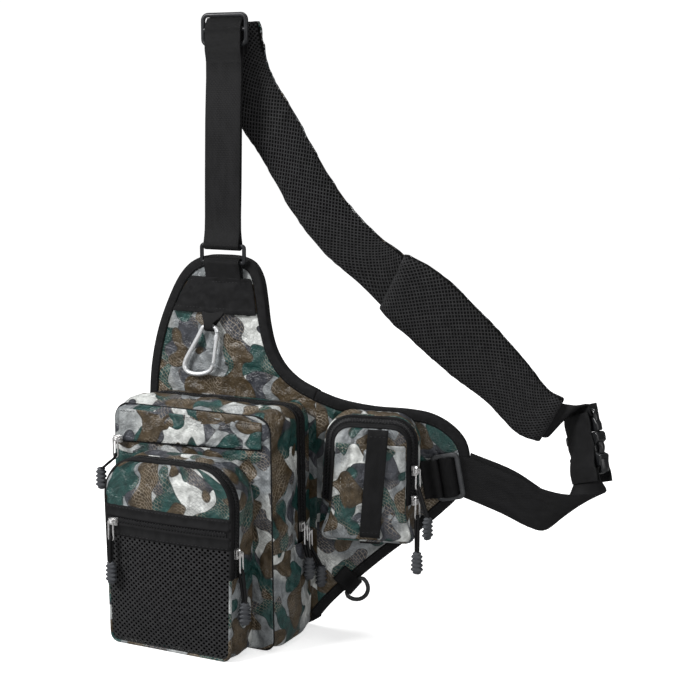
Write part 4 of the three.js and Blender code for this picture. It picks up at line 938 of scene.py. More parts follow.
def pocket_depth(x, z):
    u = (x - POCKET["middle"]) / (POCKET["top"] / 2)
    v = (z - POCKET["height"] / 2) / (POCKET["height"] / 2)
    return POCKET_DEPTH["face"] - POCKET_DEPTH["bulge"] * max(1 - u * u, 0) * max(1 - v * v, 0)


def lining_depth(x, z):
    return pocket_depth(x, z) + POCKET_NET["lining"]


def upper_depth(x, z):
    return pocket_depth(x, z) - POCKET_UPPER["ripple"] * ripple_at(x, z, POCKET_UPPER["waves"])


def band_surface(u, v):
    z, rise = BAND_FOLD[round(v * (len(BAND_FOLD) - 1))]
    x = POCKET["middle"] + pocket_half(z) * (2 * u - 1)
    return Vector((x, pocket_depth(x, z) - rise, z))


pocket_line, inner_line = rim(POCKET), rim(POCKET, POCKET_PIPING["inset"])
pocket_upper, pocket_lower = above(pocket_line, POCKET_SEAM), below(pocket_line, POCKET_SEAM)
pocket_arch = walker(pocket_upper)
band_piece("pocket_arched_band", pocket_upper, POCKET_DEPTH["rear"], POCKET_DEPTH["zip_rear"],
           ["pocket_gusset"], POCKET_CORE, (4.2, 0.4), POCKET_SWELL)
band_piece("pocket_base_band", pocket_lower, POCKET_DEPTH["rear"], POCKET_DEPTH["front"], [],
           POCKET_CORE, (4.9, 0.8), POCKET_SWELL, floor=0.0)
zip_along("pocket_zip", IN_BAG, ["pocket_zip"], POCKET_CORE,
          round_flow(pocket_arch, POCKET_DEPTH["zip_rear"], POCKET_DEPTH["front"]), pocket_arch.length,
          POCKET_DEPTH["zip_rear"] - POCKET_DEPTH["front"])
piped_at = POCKET_DEPTH["front"] - POCKET_PIPING["ahead"]
piping("pocket_edge_piping", above(inner_line, POCKET_SEAM), piped_at, POCKET_PIPING["arch"], IN_BAG,
       black["tape"])
piping("pocket_base_piping", below(inner_line, POCKET_SEAM), piped_at, POCKET_PIPING["base"], IN_BAG,
       camo_nylon, (5.5, 0.2))

low, high = POCKET_NET["low"], POCKET_NET["high"]
flat = (POCKET["bottom"], high - low)
cells = (round(POCKET["bottom"] / POCKET_NET["wide"]), round((high - low) / POCKET_NET["tall"]))
bm = skin(*cells, standing_panel(POCKET["middle"], pocket_half, low, high, pocket_depth), flat)
open_net(bm, POCKET_NET["strand"])
pocket_net = make_piece("pocket_net", bm, IN_BAG, black["net_thread"], ["pocket_mesh"],
                        inside=POCKET_CORE)
subdivided(pocket_net)
walled(pocket_net, POCKET_NET["thick"])
bm = skin(30, 26, standing_panel(POCKET["middle"], pocket_half, low, high, lining_depth), flat)
make_piece("pocket_lining", bm, IN_BAG, black["lining"], inside=POCKET_CORE, thick=TAPE_WALL)

bm = skin(40, len(BAND_FOLD) - 1, band_surface, (POCKET["top"], BAND_FOLD[-1][0] - BAND_FOLD[0][0]))
make_piece("pocket_band", bm, IN_BAG, black["tape"], ["pocket_band"], inside=POCKET_CORE,
           thick=TAPE_WALL)
half = pocket_half(POCKET_BAND["coil"]) - POCKET_BAND["ends"]
count = int(2 * half / TEETH["pitch"])
turn = Matrix(((1, 0, 0), (0, 0, 1), AHEAD)).transposed().to_4x4()
teeth = []
for i in range(count):
    x = POCKET["middle"] - half + 2 * half * (i + 0.5) / count
    z = POCKET_BAND["coil"] + (TEETH["stagger"] if i % 2 else -TEETH["stagger"])
    teeth.append(Matrix.Translation((x, pocket_depth(x, z) - POCKET_BAND["lift"], z)) @ turn)
coil("pocket_band_coil", IN_BAG, teeth)
rows = []
for z in BAND_STITCHES["levels"]:
    half = pocket_half(z) - BAND_STITCHES["ends"]
    row = [POCKET["middle"] + half * (2 * share - 1) for share in shares(40)]
    rows.append([Vector((x, pocket_depth(x, z) - BAND_STITCHES["lift"], z)) for x in row])
stitched("pocket_band_stitches", rows, IN_BAG)
low, high = POCKET_UPPER["low"], POCKET_UPPER["high"]
bm = skin(40, 14, standing_panel(POCKET["middle"], pocket_half, low, high, upper_depth),
          (134, 45), (6.1, 0.6))
cloth_panel("pocket_front", bm, IN_BAG, ["pocket_front"], POCKET_CORE, slack=0.02, cap=2.0)


# Neck reinforcement
# A patch of plain black cloth with a turned hem, sewn over the top of the back panel to carry the strap.
# The ends of the strap's loop are sewn in behind it, so its upper edge stands out there.
NECK = {
    "low": 296, "high": 331, "face": -4.4, "hem": 4.5, "upper_hem": 2.7, "hem_rise": 0.7, "loop": -5,
    "loop_half": 24, "stand": 1.7, "puff": 0.8, "ripple": 0.5, "waves": (0.07, 3, 0.09), "side_turn": 2.0,
    "stitched": (0.14, 0.88), "stitches": (0.03, 0.97), "stitches_lift": 0.25,
}
NECK_SIDES = [(296, -64, 28.5), (314, -54.5, 26.5), (331, -42.5, 23)]


def neck_surface(u, v):
    z = NECK["low"] + (NECK["high"] - NECK["low"]) * v
    k = 0 if z < NECK_SIDES[1][0] else 1
    (z0, left0, right0), (z1, left1, right1) = NECK_SIDES[k], NECK_SIDES[k + 1]
    share = (z - z0) / (z1 - z0)
    left, right = left0 + (left1 - left0) * share, right0 + (right1 - right0) * share
    x = left + (right - left) * u
    in_hem = z - NECK["low"] < NECK["hem"] or NECK["high"] - z < NECK["upper_hem"]
    hem = NECK["hem_rise"] if in_hem else 0.0
    puff = NECK["puff"] * math.sin(math.pi * u) ** 0.5 * math.sin(math.pi * v)
    puff += NECK["ripple"] * ripple_at(x, z, NECK["waves"])
    stand = NECK["stand"] * v * v * max(1 - ((x - NECK["loop"]) / NECK["loop_half"]) ** 4, 0)
    side = NECK["side_turn"] * abs(2 * u - 1) ** 6
    return Vector((x, NECK["face"] + side - hem - puff - stand, z))


bm = skin(40, 20, neck_surface, (92, 35))
cloth_panel("neck_reinforcement", bm, IN_BAG, ["neck_reinforcement"], (0, 200, 320), slack=0.01,
            cap=1.0, finish=black["tape"], creased=0.5)
rows = []
first, last = NECK["stitches"]
for v in NECK["stitched"]:
    row = [neck_surface(first + (last - first) * share, v) for share in shares(30)]
    rows.append([p + NECK["stitches_lift"] * AHEAD for p in row])
stitched("neck_stitches", rows, IN_BAG)


# Hip pouch
# A small box pouch sewn on the wing, in printed nylon; its arched zip slopes in to the narrower front.
# A patch pocket with a turned hem and a strip of black webbing, folded under it, are sewn on the front.
POUCH = {
    "middle": 51.5, "base": 95, "bottom": 90, "top": 85, "height": 117, "top_radius": 24,
    "bottom_radius": 10,
}
POUCH_DEPTH = {"panel": -1.4, "zip_rear": -22.4, "front": -31.4, "face": -33.0, "bulge": 4.0}
POUCH_SLOPE = {"foot": 2.0, "top": 9.0, "low": 95, "high": 128}
POUCH_BAND = {"cell": 3.5, "swell": 0.8, "fold": 0.8, "waves": 0.07, "fullness": (1.03, 1.25)}
POUCH_FRONT = {"low": 97.6, "high": 202.6, "middle": 150, "half": 53, "fall": 0.6}
POUCH_ZIP_WIDTH, POUCH_SEAM, POUCH_LEAN = 12.7, 132, math.radians(2)
POUCH_PIPING = {"ahead": 0.9, "arch": 1.5, "base": 1.3, "outer": 0.9, "outer_behind": 0.4}
PATCH = {
    "low": 98, "high": 188, "off": 0.8, "hem": 5.0, "hem_rise": 0.7, "narrower": 1.5, "ripple": 0.5,
    "waves": (0.07, 5, 0.07),
}
PATCH_HEM = {"above": 0.8, "lift": 0.8, "ends": 1}
PATCH_SIDE = {"in": 7, "lift": 0.3, "ends": 2}
STRIP = {"middle": 56, "lean": 2.2, "lean_from": 150, "lean_over": 54, "half": 9.3, "off": 1.5}
STRIP_TURN = {"from": 102, "off": 1.9, "slope": 0.9}
STRIP_STITCHES = {"levels": (106, 196), "lift": 2.5, "across": range(-8, 9, 2)}
STRIP_LEVELS = (202, 199, 194, 180, 153, 125, 108, 103, 99.5, 97, 94.5, 92.5)
WEB = {"width": 38, "thick": 1.6, "columns": 6, "selvedge": 0.4, "selvedge_from": math.radians(50)}
POUCH_CORE, POUCH_TURN = Vector((51.5, -12, 150)), Matrix.Translation((51.5, 0, 153.5))
ON_POUCH = ON_WING @ POUCH_TURN @ Matrix.Rotation(POUCH_LEAN, 4, "Y") @ POUCH_TURN.inverted()
pale_thread = flecked("pale_thread", ("85827a", "b4b0a6"), 900.0, 1.0, {"Roughness": 0.6})[0]


def pouch_inset(z):
    """How much narrower the front is than the band, at a level."""
    share = min(max((z - POUCH_SLOPE["low"]) / (POUCH_SLOPE["high"] - POUCH_SLOPE["low"]), 0), 1)
    return POUCH_SLOPE["foot"] + (POUCH_SLOPE["top"] - POUCH_SLOPE["foot"]) * share * share * (3 - 2 * share)


def pouch_walk(line):
    """Walk round the pouch: to the point at a share of the outline and a depth, and the way along there."""
    at = walker(line)

    def on(u, y):
        p, way = at(u)
        share = (y - POUCH_DEPTH["zip_rear"]) / (POUCH_DEPTH["front"] - POUCH_DEPTH["zip_rear"])
        return p - outward(way) * (pouch_inset(p.z) * min(max(share, 0), 1)) + Vector((0, y, 0)), way

    on.length = at.length
    return on


def pouch_band(name, line, front, nodes, cut):
    at = pouch_walk(line)
    rear, cell, fullness = POUCH_DEPTH["panel"], POUCH_BAND["cell"], POUCH_BAND["fullness"]

    def surface(u, v):
        p, way = at(u, rear + (front - rear) * v)
        fold = POUCH_BAND["fold"] * noise.noise(p * POUCH_BAND["waves"])
        return p + outward(way) * ((POUCH_BAND["swell"] + fold) * math.sin(math.pi * v))

    deep = abs(front - rear)
    bm = skin(round(at.length / cell), max(round(deep / cell), 3), surface, (at.length, deep), cut)
    cloth_panel(name, bm, ON_POUCH, nodes, POUCH_CORE)


def pouch_flow(u, share):
    deep = POUCH_DEPTH["zip_rear"] - POUCH_DEPTH["front"]
    p, way = on_arch(u, POUCH_DEPTH["zip_rear"] - deep * share)
    slope = pouch_inset(p.z)
    side = (outward(way) * slope + Vector((0, deep, 0))).normalized()
    return p, way, side, (outward(way) * deep - Vector((0, slope, 0))).normalized()


def front_half(z):
    """Half the width of the pouch's front at a level."""
    i = min(max(bisect.bisect_left(front_levels, z), 1), len(front_levels) - 1)
    (z0, x0), (z1, x1) = front_sides[i - 1], front_sides[i]
    return x0 + (x1 - x0) * min(max((z - z0) / max(z1 - z0, 1e-6), 0), 1)


def pouch_depth(x, z):
    u = (x - POUCH["middle"]) / front_half(z)
    v = (z - POUCH_FRONT["middle"]) / POUCH_FRONT["half"]
    swollen = (max(1 - u ** 4, 0) * max(1 - v ** 4, 0)) ** POUCH_FRONT["fall"]
    return POUCH_DEPTH["face"] - POUCH_DEPTH["bulge"] * swollen


def patch_half(z):
    return front_half(z) - PATCH["narrower"]


def patch_depth(x, z):
    hem = PATCH["hem_rise"] if z > PATCH["high"] - PATCH["hem"] else 0.0
    return pouch_depth(x, z) - PATCH["off"] - hem - PATCH["ripple"] * ripple_at(x, z, PATCH["waves"])


def strip_x(z):
    return STRIP["middle"] + STRIP["lean"] * (z - STRIP["lean_from"]) / STRIP["lean_over"]


def ribbon(name, rows, substeps, where, nodes, shift=0.0):
    """A length of flat webbing through rows of centre and half width, with rounded selvedges."""
    centres = smooth_line([row[:3] for row in rows], substeps)
    halves = smooth_line([row[3:] for row in rows], substeps)
    steps = len(centres) - 1
    frames = []
    for i, (centre, half) in enumerate(zip(centres, halves)):
        way = centres[min(i + 1, steps)] - centres[max(i - 1, 0)]
        frames.append((centre, half, way.cross(half).normalized()))

    def surface(u, v):
        centre, half, normal = frames[round(v * steps)]
        return centre + half * (2 * u - 1) + normal * shift

    bm = skin(WEB["columns"], steps, surface, (2 * halves[0].length, lengths_along(centres)[-1]))
    piece = make_piece(name, bm, where, black["webbing"], nodes, thick=WEB["thick"], level=0)
    soft = piece.modifiers.new("selvedge", "BEVEL")
    soft.width, soft.segments = WEB["selvedge"] / 1000, 2
    soft.limit_method, soft.angle_limit = "ANGLE", WEB["selvedge_from"]


pouch_rim = rim(POUCH)
pouch_arch = above(pouch_rim, POUCH_SEAM)
pouch_band("pouch_arched_band", pouch_arch, POUCH_DEPTH["zip_rear"], ["pouch_gusset"], (7.0, 0.3))
pouch_band("pouch_base_band", below(pouch_rim, POUCH_SEAM), POUCH_DEPTH["front"], [], (7.6, 0.9))
on_arch = pouch_walk(pouch_arch)
zip_along("pouch_zip", ON_POUCH, ["pouch_zip"], POUCH_CORE, pouch_flow, on_arch.length, POUCH_ZIP_WIDTH)
front_walk = pouch_walk(pouch_rim)
pouch_front_rim = [front_walk(share, POUCH_DEPTH["front"])[0] * Vector((1, 0, 1)) for share in shares(240)]
front_sides = sorted((p.z, p.x - POUCH["middle"]) for p in pouch_front_rim if p.x > POUCH["middle"] + 1)
front_levels = [z for z, reach in front_sides]
low, high = POUCH_FRONT["low"], POUCH_FRONT["high"]
bm = skin(28, 36, standing_panel(POUCH["middle"], front_half, low, high, pouch_depth), (86, 105), (8.3, 0.2))
cloth_panel("pouch_front", bm, ON_POUCH, ["pouch_front"], POUCH_CORE, slack=0.01, cap=1.0)
low, high = PATCH["low"], PATCH["high"]
bm = skin(28, 32, standing_panel(POUCH["middle"], patch_half, low, high, patch_depth), (84, 90), (9.1, 0.5))
cloth_panel("pouch_patch", bm, ON_POUCH, [], POUCH_CORE, slack=0.01, cap=0.8)
piped_at = POUCH_DEPTH["front"] - POUCH_PIPING["ahead"]
piping("pouch_edge_piping", above(pouch_front_rim, POUCH_SEAM), piped_at, POUCH_PIPING["arch"], ON_POUCH,
       black["tape"])
piping("pouch_outer_piping", pouch_arch, POUCH_DEPTH["zip_rear"] + POUCH_PIPING["outer_behind"],
       POUCH_PIPING["outer"], ON_POUCH, camo_nylon, (9.9, 0.6))
piping("pouch_base_piping", below(pouch_front_rim, POUCH_SEAM), piped_at, POUCH_PIPING["base"], ON_POUCH,
       camo_nylon, (9.8, 0.1))
z = PATCH["high"] - PATCH["hem"] + PATCH_HEM["above"]
reach = patch_half(z) - PATCH_HEM["ends"]
row = [POUCH["middle"] + reach * (2 * share - 1) for share in shares(40)]
hem_row = [Vector((x, patch_depth(x, z) - PATCH_HEM["lift"], z)) for x in row]
low, high = PATCH["low"] + PATCH_SIDE["ends"], PATCH["high"] - PATCH_SIDE["ends"]
side_row = []
for share in shares(30):
    z = high - (high - low) * share
    x = POUCH["middle"] - patch_half(z) + PATCH_SIDE["in"]
    side_row.append(Vector((x, patch_depth(x, z) - PATCH_SIDE["lift"], z)))
stitched("pouch_patch_stitches", [hem_row, side_row], ON_POUCH, finish=pale_thread)
rows = []
for z in STRIP_LEVELS:
    x, under = strip_x(z), STRIP_TURN["from"] - z
    on_patch = patch_depth(x, z) - STRIP["off"]
    below_patch = POUCH_DEPTH["face"] - STRIP_TURN["off"] + under * STRIP_TURN["slope"]
    rows.append((x, on_patch if under < 0 else below_patch, z, STRIP["half"], 0, 0))
ribbon("pouch_strip", rows, 3, ON_POUCH, ["pouch_strip"])
rows = []
for z in STRIP_STITCHES["levels"]:
    x = strip_x(z)
    y = patch_depth(x, z) - STRIP_STITCHES["lift"]
    rows.append([Vector((x + k, y, z)) for k in STRIP_STITCHES["across"]])
stitched("pouch_strip_stitches", rows, ON_POUCH)


# Rings, slider and webbing of the upper strap
# The neck loop holds a moulded ring; doubled webbing runs up from it to a sliding bar at the top.
# A short bridge of webbing goes from the slider over the top fold onto the padded strap.
RING = {"at": Vector((-5, -6, 353.5)), "width": 50, "height": 20, "bar": 4.0, "corner": 2.5}
GLIDE = {"at": Vector((-2, -3, 560.5)), "width": 50, "height": 31, "bar": 4.4, "corner": 5.0}
BRIDGE = {"front": 0.2, "back": 7.4, "top": 568, "bend": 556, "start": 549, "end": 540}
BAR_FLATNESS = {"frame": 0.9, "cross": 0.85}
WEB_HALF, WEB_GAP, STRAP_GAP = WEB["width"] / 2, 0.9, 0.3
MOULDED = {"speckle": 1400.0, "clouds": 90.0, "rough_below": 0.06, "rough_above": 0.08, "depth": 0.0003}
CORNER_STEPS, WRAP_STEPS = 6, 8
moulding, given, result = shared_effect(
    "moulded_skin", [("Place", "NodeSocketVector")],
    [("Shade", "NodeSocketFloat"), ("Height", "NodeSocketFloat")])
speckle = wire(moulding, "ShaderNodeTexNoise", {
    "Vector": given["Place"], "Scale": MOULDED["speckle"], "Detail": 2.0})
clouds = wire(moulding, "ShaderNodeTexNoise", {
    "Vector": given["Place"], "Scale": MOULDED["clouds"], "Detail": 3.0})
moulding.links.new(spread(moulding, clouds.outputs[0], 0.3, 0.7), result["Shade"])
moulding.links.new(speckle.outputs[0], result["Height"])


def moulded(name, dark, light, rough, lift=0.15, shine=0.3):
    """Moulded plastic or rubber with a fine speckled skin."""
    finish, tree, shader = new_finish(name, {"Specular IOR Level": shine})
    cast = wire(tree, "ShaderNodeGroup", node_tree=moulding)
    tree.links.new(wire(tree, "ShaderNodeTexCoord").outputs["Object"], cast.inputs["Place"])
    shade = cast.outputs["Shade"]
    tree.links.new(mixed(tree, shade, dye(dark), dye(light)), shader.inputs["Base Color"])
    least, most = rough - MOULDED["rough_below"], rough + MOULDED["rough_above"]
    tree.links.new(spread(tree, shade, 0, 1, least, most), shader.inputs["Roughness"])
    bump = wire(tree, "ShaderNodeBump", {
        "Height": cast.outputs["Height"], "Strength": lift, "Distance": MOULDED["depth"]})
    tree.links.new(bump.outputs[0], shader.inputs["Normal"])
    return finish


black_plastic = moulded("black_plastic", "17181a", "26272a", 0.38)


def join_shape(bm, shape):
    """Adds a finished shape to a mesh in the making."""
    bmesh.ops.recalc_face_normals(shape, faces=shape.faces[:])
    joined = bpy.data.meshes.new("joined")
    shape.to_mesh(joined)
    shape.free()
    bm.from_mesh(joined)
    bpy.data.meshes.remove(joined)


def bar_frame(bm, path, radii, closed=True, sides=12, axis=Vector((0, 1, 0))):
    """A bar of rounded section along a path that lies across an axis; radii go across and along it."""
    line = [*path, path[0]] if closed else path
    steps = len(line) - 1
    grid = skin(steps, sides, lambda u, v: (u, v, 0))
    for vert in grid.verts:
        i, angle = round(vert.co.x * steps), vert.co.y * math.tau
        before = line[i - 1] if i > 0 else (line[-2] if closed else line[0])
        after = line[i + 1] if i < steps else (line[1] if closed else line[-1])
        side = (after - before).normalized().cross(axis).normalized()
        vert.co = line[i] + side * radii[0] * math.cos(angle) + axis * radii[1] * math.sin(angle)
    bmesh.ops.remove_doubles(grid, verts=grid.verts[:], dist=0.01)
    if not closed:
        bmesh.ops.holes_fill(grid, edges=[e for e in grid.edges if e.is_boundary])
    join_shape(bm, grid)


def rounded_loop(width, height, radius):
    """Closed rounded rectangle in x and z."""
    loop = []
    for k, (sx, sz) in enumerate(((1, -1), (1, 1), (-1, 1), (-1, -1))):
        for share in shares(CORNER_STEPS):
            angle = -math.pi / 2 + (k + share) * math.pi / 2
            loop.append(Vector((sx * (width / 2 - radius) + radius * math.cos(angle), 0,
                                sz * (height / 2 - radius) + radius * math.sin(angle))))
    return loop


def frame_piece(name, size, where, finish, crossed=False, upright=False):
    """A moulded strap fitting: a rounded frame, and a straight bar across its middle if it is crossed."""
    bm = bmesh.new()
    thick, radius = size["bar"], size["bar"] / 2
    bar_frame(bm, rounded_loop(size["width"] - thick, size["height"] - thick, size["corner"]),
              (radius, radius * BAR_FLATNESS["frame"]))
    if crossed:
        reach = (size["height"] if upright else size["width"]) / 2 - radius
        along = Vector((0, 0, reach)) if upright else Vector((reach, 0, 0))
        bar_frame(bm, [along * k for k in (-1, -0.3, 0.3, 1)], (radius, radius * BAR_FLATNESS["cross"]),
                  closed=False)
    make_piece(name, bm, where, finish, [name])


def wrap(y, z, radius, side):
    """Half circle in y and z round a bar, from the back to the front, over (1) or under (-1) it."""
    turns = [share * math.pi for share in shares(WRAP_STEPS)]
    return [(y + radius * math.cos(turn), z + side * radius * math.sin(turn)) for turn in turns]


def across(path, x, half):
    """Rows of a ribbon that lies across the bag; x is one value or goes by the level."""
    return [(x(z) if callable(x) else x, y, z, half, 0, 0) for y, z in path]


def strap_x(z):
    low, high = RING["at"], GLIDE["at"]
    return low.x + (high.x - low.x) * (z - low.z) / (high.z - low.z)


frame_piece("neck_ring", RING, IN_BAG @ Matrix.Translation(RING["at"]), black_plastic)
frame_piece("strap_slider", GLIDE, IN_BAG @ Matrix.Translation(GLIDE["at"]), black_plastic, crossed=True)
bar_rise = (RING["height"] - RING["bar"]) / 2
wrap_radius = RING["bar"] / 2 + WEB_GAP + WEB["thick"] / 2
ring_y, ring_z = RING["at"].y, RING["at"].z
loop_path = [
    (-2.2, 322), *wrap(ring_y, ring_z - bar_rise, wrap_radius, 1),
    (ring_y - wrap_radius + 1.2, ring_z - RING["height"] / 2 - 2), (-6.2, 333), (-4.9, 326), (-4.0, 321),
]
ribbon("neck_loop", across(loop_path, RING["at"].x, WEB_HALF), 2, IN_BAG, ["neck_loop"])
glide_y, glide_z = GLIDE["at"].y, GLIDE["at"].z
glide_low = glide_z - GLIDE["height"] / 2
strap_off = GLIDE["bar"] / 2 + STRAP_GAP + WEB["thick"] / 2
upper_path = [
    (glide_y + strap_off, glide_low + GLIDE["bar"]), (glide_y + strap_off, glide_low - 3),
    (glide_y + 1.2, glide_low - 14), (-3.4, 480), (-4.2, 420), (ring_y + 1.2, ring_z + bar_rise + 14),
    *wrap(ring_y, ring_z + bar_rise, wrap_radius, -1),
    (ring_y - 1.2, ring_z + bar_rise + 14), (-6.6, 420), (-5.8, 480), (glide_y - 1.2, glide_low - 14),
    (glide_y - strap_off - 0.3, glide_low - 3), (glide_y - strap_off - 0.3, glide_low + GLIDE["bar"]),
    (glide_y - strap_off, glide_z - 3), (glide_y - strap_off, glide_z + 2),
    (glide_y - 1.6, glide_z + 6), (glide_y + 1.4, glide_z + 10.5),
]
ribbon("upper_strap", across(upper_path, strap_x, WEB_HALF), 3, IN_BAG, ["upper_strap"])
fold_radius = (BRIDGE["back"] - BRIDGE["front"]) / 2
bridge_path = [
    (BRIDGE["back"], BRIDGE["end"]), (BRIDGE["back"], BRIDGE["bend"]),
    *wrap(BRIDGE["front"] + fold_radius, BRIDGE["top"], fold_radius, 1), (BRIDGE["front"], BRIDGE["start"]),
]
ribbon("strap_bridge", across(bridge_path, GLIDE["at"].x, WEB_HALF), 2, IN_BAG, ["strap_bridge"])


# Padded shoulder strap and pad
# Foam straps with printed nylon on the outer side and black spacer net on the side toward the body.
# The wide pad is sewn over the strap's end and narrows again toward the buckle.
SHOULDER = {
    "thick": 6.0, "swell": 4.0, "cut": (10.4, 0.3), "camo_below": 0.1,
    "rows": [
        (1, 12.6, 569, 25, 0, 0), (3, 13.2, 548, 26, 2, 3), (9, 14.8, 520, 23, 5, 11),
        (22, 17.7, 491, 19, 5.3, 19), (37, 21.5, 468, 18, 5.2, 20), (67.6, 30.5, 412, 18.5, 5.3, 18.4),
        (87, 36, 384, 20, 5.8, 16), (108, 42, 361, 21, 6, 14.7), (131, 48.7, 341.5, 15, 4.3, 20),
        (141.8, 51.8, 330.9, 11.5, 3.3, 24.6), (147.5, 53.4, 325.4, 11.5, 3.3, 24.6)],
}
SHOULDER_PAD = {
    "thick": 10.0, "swell": 5.0, "cut": (11.2, 0.6), "camo_below": -0.6,
    "rows": [
        (142.5, 52, 330.2, 12, 3.4, 27), (160.7, 57.2, 316.4, 17, 4.9, 29.6),
        (177.3, 62, 302.8, 18, 5.1, 29.9), (216.2, 73.1, 266, 19.3, 5.5, 26.2),
        (248, 82.3, 236, 18.4, 5.3, 21), (272, 89, 209, 14.5, 4.2, 22), (290, 94.2, 201, 11.5, 3.3, 21.4)],
}
STUFFING = {"substeps": 6, "voxel": 2.6, "cap": 1.6, "creased": 1.0, "fill": 0.75}
PAD_CORNER = [(1, 0.25), (0.97, 0.6), (0.88, 0.85), (0.5, 1)]
PAD_FACE = [*PAD_CORNER, *((-a, n) for a, n in reversed(PAD_CORNER))]
PAD_SECTION = [*PAD_FACE, *((-a, -n) for a, n in PAD_FACE)]
SPACER = {
    "cell": 4.5, "strand": 1.05, "off": 0.6, "thick": 0.4, "flat": 0.8, "round": math.radians(115),
    "behind": (150, 900, 350),
}


def padded_strap(name, made):
    """A foam strap, and the spacer net that lies over its front and round to its edges."""
    centres = smooth_line([row[:3] for row in made["rows"]], STUFFING["substeps"])
    halves = smooth_line([row[3:] for row in made["rows"]], STUFFING["substeps"])
    steps, sides = len(centres) - 1, len(PAD_SECTION)
    normals = []
    for i, half in enumerate(halves):
        normal = (centres[min(i + 1, steps)] - centres[max(i - 1, 0)]).cross(half).normalized()
        normals.append(normal if normal.y < 0 else -normal)
    deep = made["thick"] / 2

    def surface(u, v):
        i = round(v * steps)
        a, n = PAD_SECTION[round(u * sides) % sides]
        return centres[i] + halves[i] * a + normals[i] * (n * deep)

    bm = skin(sides, steps, surface, weld=True, fill=True)
    piece = make_piece(name, bm, IN_BAG, camo_nylon, [name])
    stuff(piece, STUFFING["voxel"], made["swell"], STUFFING["cap"])
    crease(piece, STUFFING["creased"], ())
    piece.data.materials.append(black["lining"])
    flat_map(piece, IN_BAG, made["cut"])
    to_bag = IN_BAG.inverted()
    for face in piece.data.polygons:
        p = to_bag @ face.center
        i = min(range(steps + 1), key=lambda k: (centres[k] - p).length_squared)
        height = (p - centres[i]).dot(normals[i]) / deep
        face.material_index = 1 if height > made["camo_below"] or i in (0, steps) else 0
    subdivided(piece)
    tree = surface_tree(piece, IN_BAG)
    gone = lengths_along(centres)
    length, width = gone[-1], 2 * max(half.length for half in halves) + deep

    def laid(u, v):
        i = min(max(bisect.bisect_left(gone, v * length) - 1, 0), steps - 1)
        share = (v * length - gone[i]) / (gone[i + 1] - gone[i])
        centre, half = centres[i].lerp(centres[i + 1], share), halves[i].lerp(halves[i + 1], share)
        normal = normals[i].lerp(normals[i + 1], share).normalized()
        side = 2 * u - 1
        past = max(abs(side) - SPACER["flat"], 0) / (1 - SPACER["flat"])
        above_foam = normal * deep * math.cos(past * SPACER["round"])
        near, facing = tree.find_nearest(centre + half * side + above_foam)[:2]
        return near + facing * SPACER["off"]

    net = skin(round(width / SPACER["cell"]), round(length / SPACER["cell"]), laid, (width, length))
    open_net(net, SPACER["strand"])
    make_piece(name + "_net", net, IN_BAG, black["net_thread"], inside=SPACER["behind"],
               thick=SPACER["thick"])


padded_strap("shoulder_strap", SHOULDER)
padded_strap("shoulder_pad", SHOULDER_PAD)


# Side-release buckle
# Two glossy black mouldings: a housing with open sides and ribs on its face, and a fork with two prongs.
# The prongs hold in the housing's sides, and each moulding has a bar that webbing goes round.
BUCKLE = {"at": (317.5, 109, 182), "turn": -34, "lean": 18, "thick": 11.0, "fork_thick": 6.5, "sharp": 35}
AT_BUCKLE = (Matrix.Translation(BUCKLE["at"]) @ Matrix.Rotation(math.radians(BUCKLE["turn"]), 4, "Z")
             @ Matrix.Rotation(math.radians(-BUCKLE["lean"]), 4, "Y"))
HOUSING = [(17, -25), (21, -25), (24, -15), (17.5, -12), (17.5, -5), (24, -2), (24, 5), (22, 7)]
HOUSING_BAR = {"half": 21.5, "near": -19, "far": -30, "radii": (2.4, 4.6)}
HOUSING_RIBS = {"levels": (0.5, 2.5, 4.5), "reach": (-16, -5, 5, 16), "radii": (0.5, 0.6)}
FORK = [(24, 7.4), (24, 14), (21, 20.6), (14, 20.6)]
FORK_BAR = {"half": 21.2, "near": 17, "far": 27, "radii": (2.0, 2.9)}
PRONG, PRONG_RADII = [(18.5, 9), (19.5, 2), (21.5, -4), (22, -8), (20, -12.5)], (2.2, 2.8)
BAR_CORNER = 3
buckle_plastic = moulded("buckle_plastic", "0e0f10", "1a1b1d", 0.26, 0.06, 0.5)


def moulded_plate(bm, outline, thick, bevel):
    """A plate from half an outline, mirrored across x, with rounded edges."""
    plate = bmesh.new()
    points = [*outline, *((-x, z) for x, z in reversed(outline))]
    extruded(plate, [(x, -thick / 2, z) for x, z in points], thick)
    bmesh.ops.bevel(plate, geom=plate.edges[:], offset=bevel, affect="EDGES", segments=3, profile=0.5,
                    material=-1)
    join_shape(bm, plate)


def web_bar(bm, bar):
    """The bar that webbing goes round: two arms and a cross bar."""
    half, far = bar["half"], bar["far"]
    corner = math.copysign(BAR_CORNER, far - bar["near"])
    turn = [(half, far - corner), (half - 1, far - corner * 0.35), (half - BAR_CORNER, far)]
    arm = [(half, bar["near"]), *turn]
    path = [*((-x, z) for x, z in arm), (0, far), *reversed(arm)]
    bar_frame(bm, [Vector((x, 0, z)) for x, z in path], bar["radii"], closed=False)


bm = bmesh.new()
moulded_plate(bm, HOUSING, BUCKLE["thick"], 1.6)
web_bar(bm, HOUSING_BAR)
for z in HOUSING_RIBS["levels"]:
    rib = [Vector((x, -BUCKLE["thick"] / 2, z)) for x in HOUSING_RIBS["reach"]]
    bar_frame(bm, rib, HOUSING_RIBS["radii"], closed=False)
make_piece("buckle_female", bm, IN_BAG @ AT_BUCKLE, buckle_plastic, ["buckle_female"],
           sharp=BUCKLE["sharp"])
bm = bmesh.new()
moulded_plate(bm, FORK, BUCKLE["fork_thick"], 1.4)
web_bar(bm, FORK_BAR)
for side in (1, -1):
    bar_frame(bm, smooth_line([(side * x, 0, z) for x, z in PRONG], 3), PRONG_RADII, closed=False)
make_piece("buckle_male", bm, IN_BAG @ AT_BUCKLE, buckle_plastic, ["buckle_male"],
           sharp=BUCKLE["sharp"])


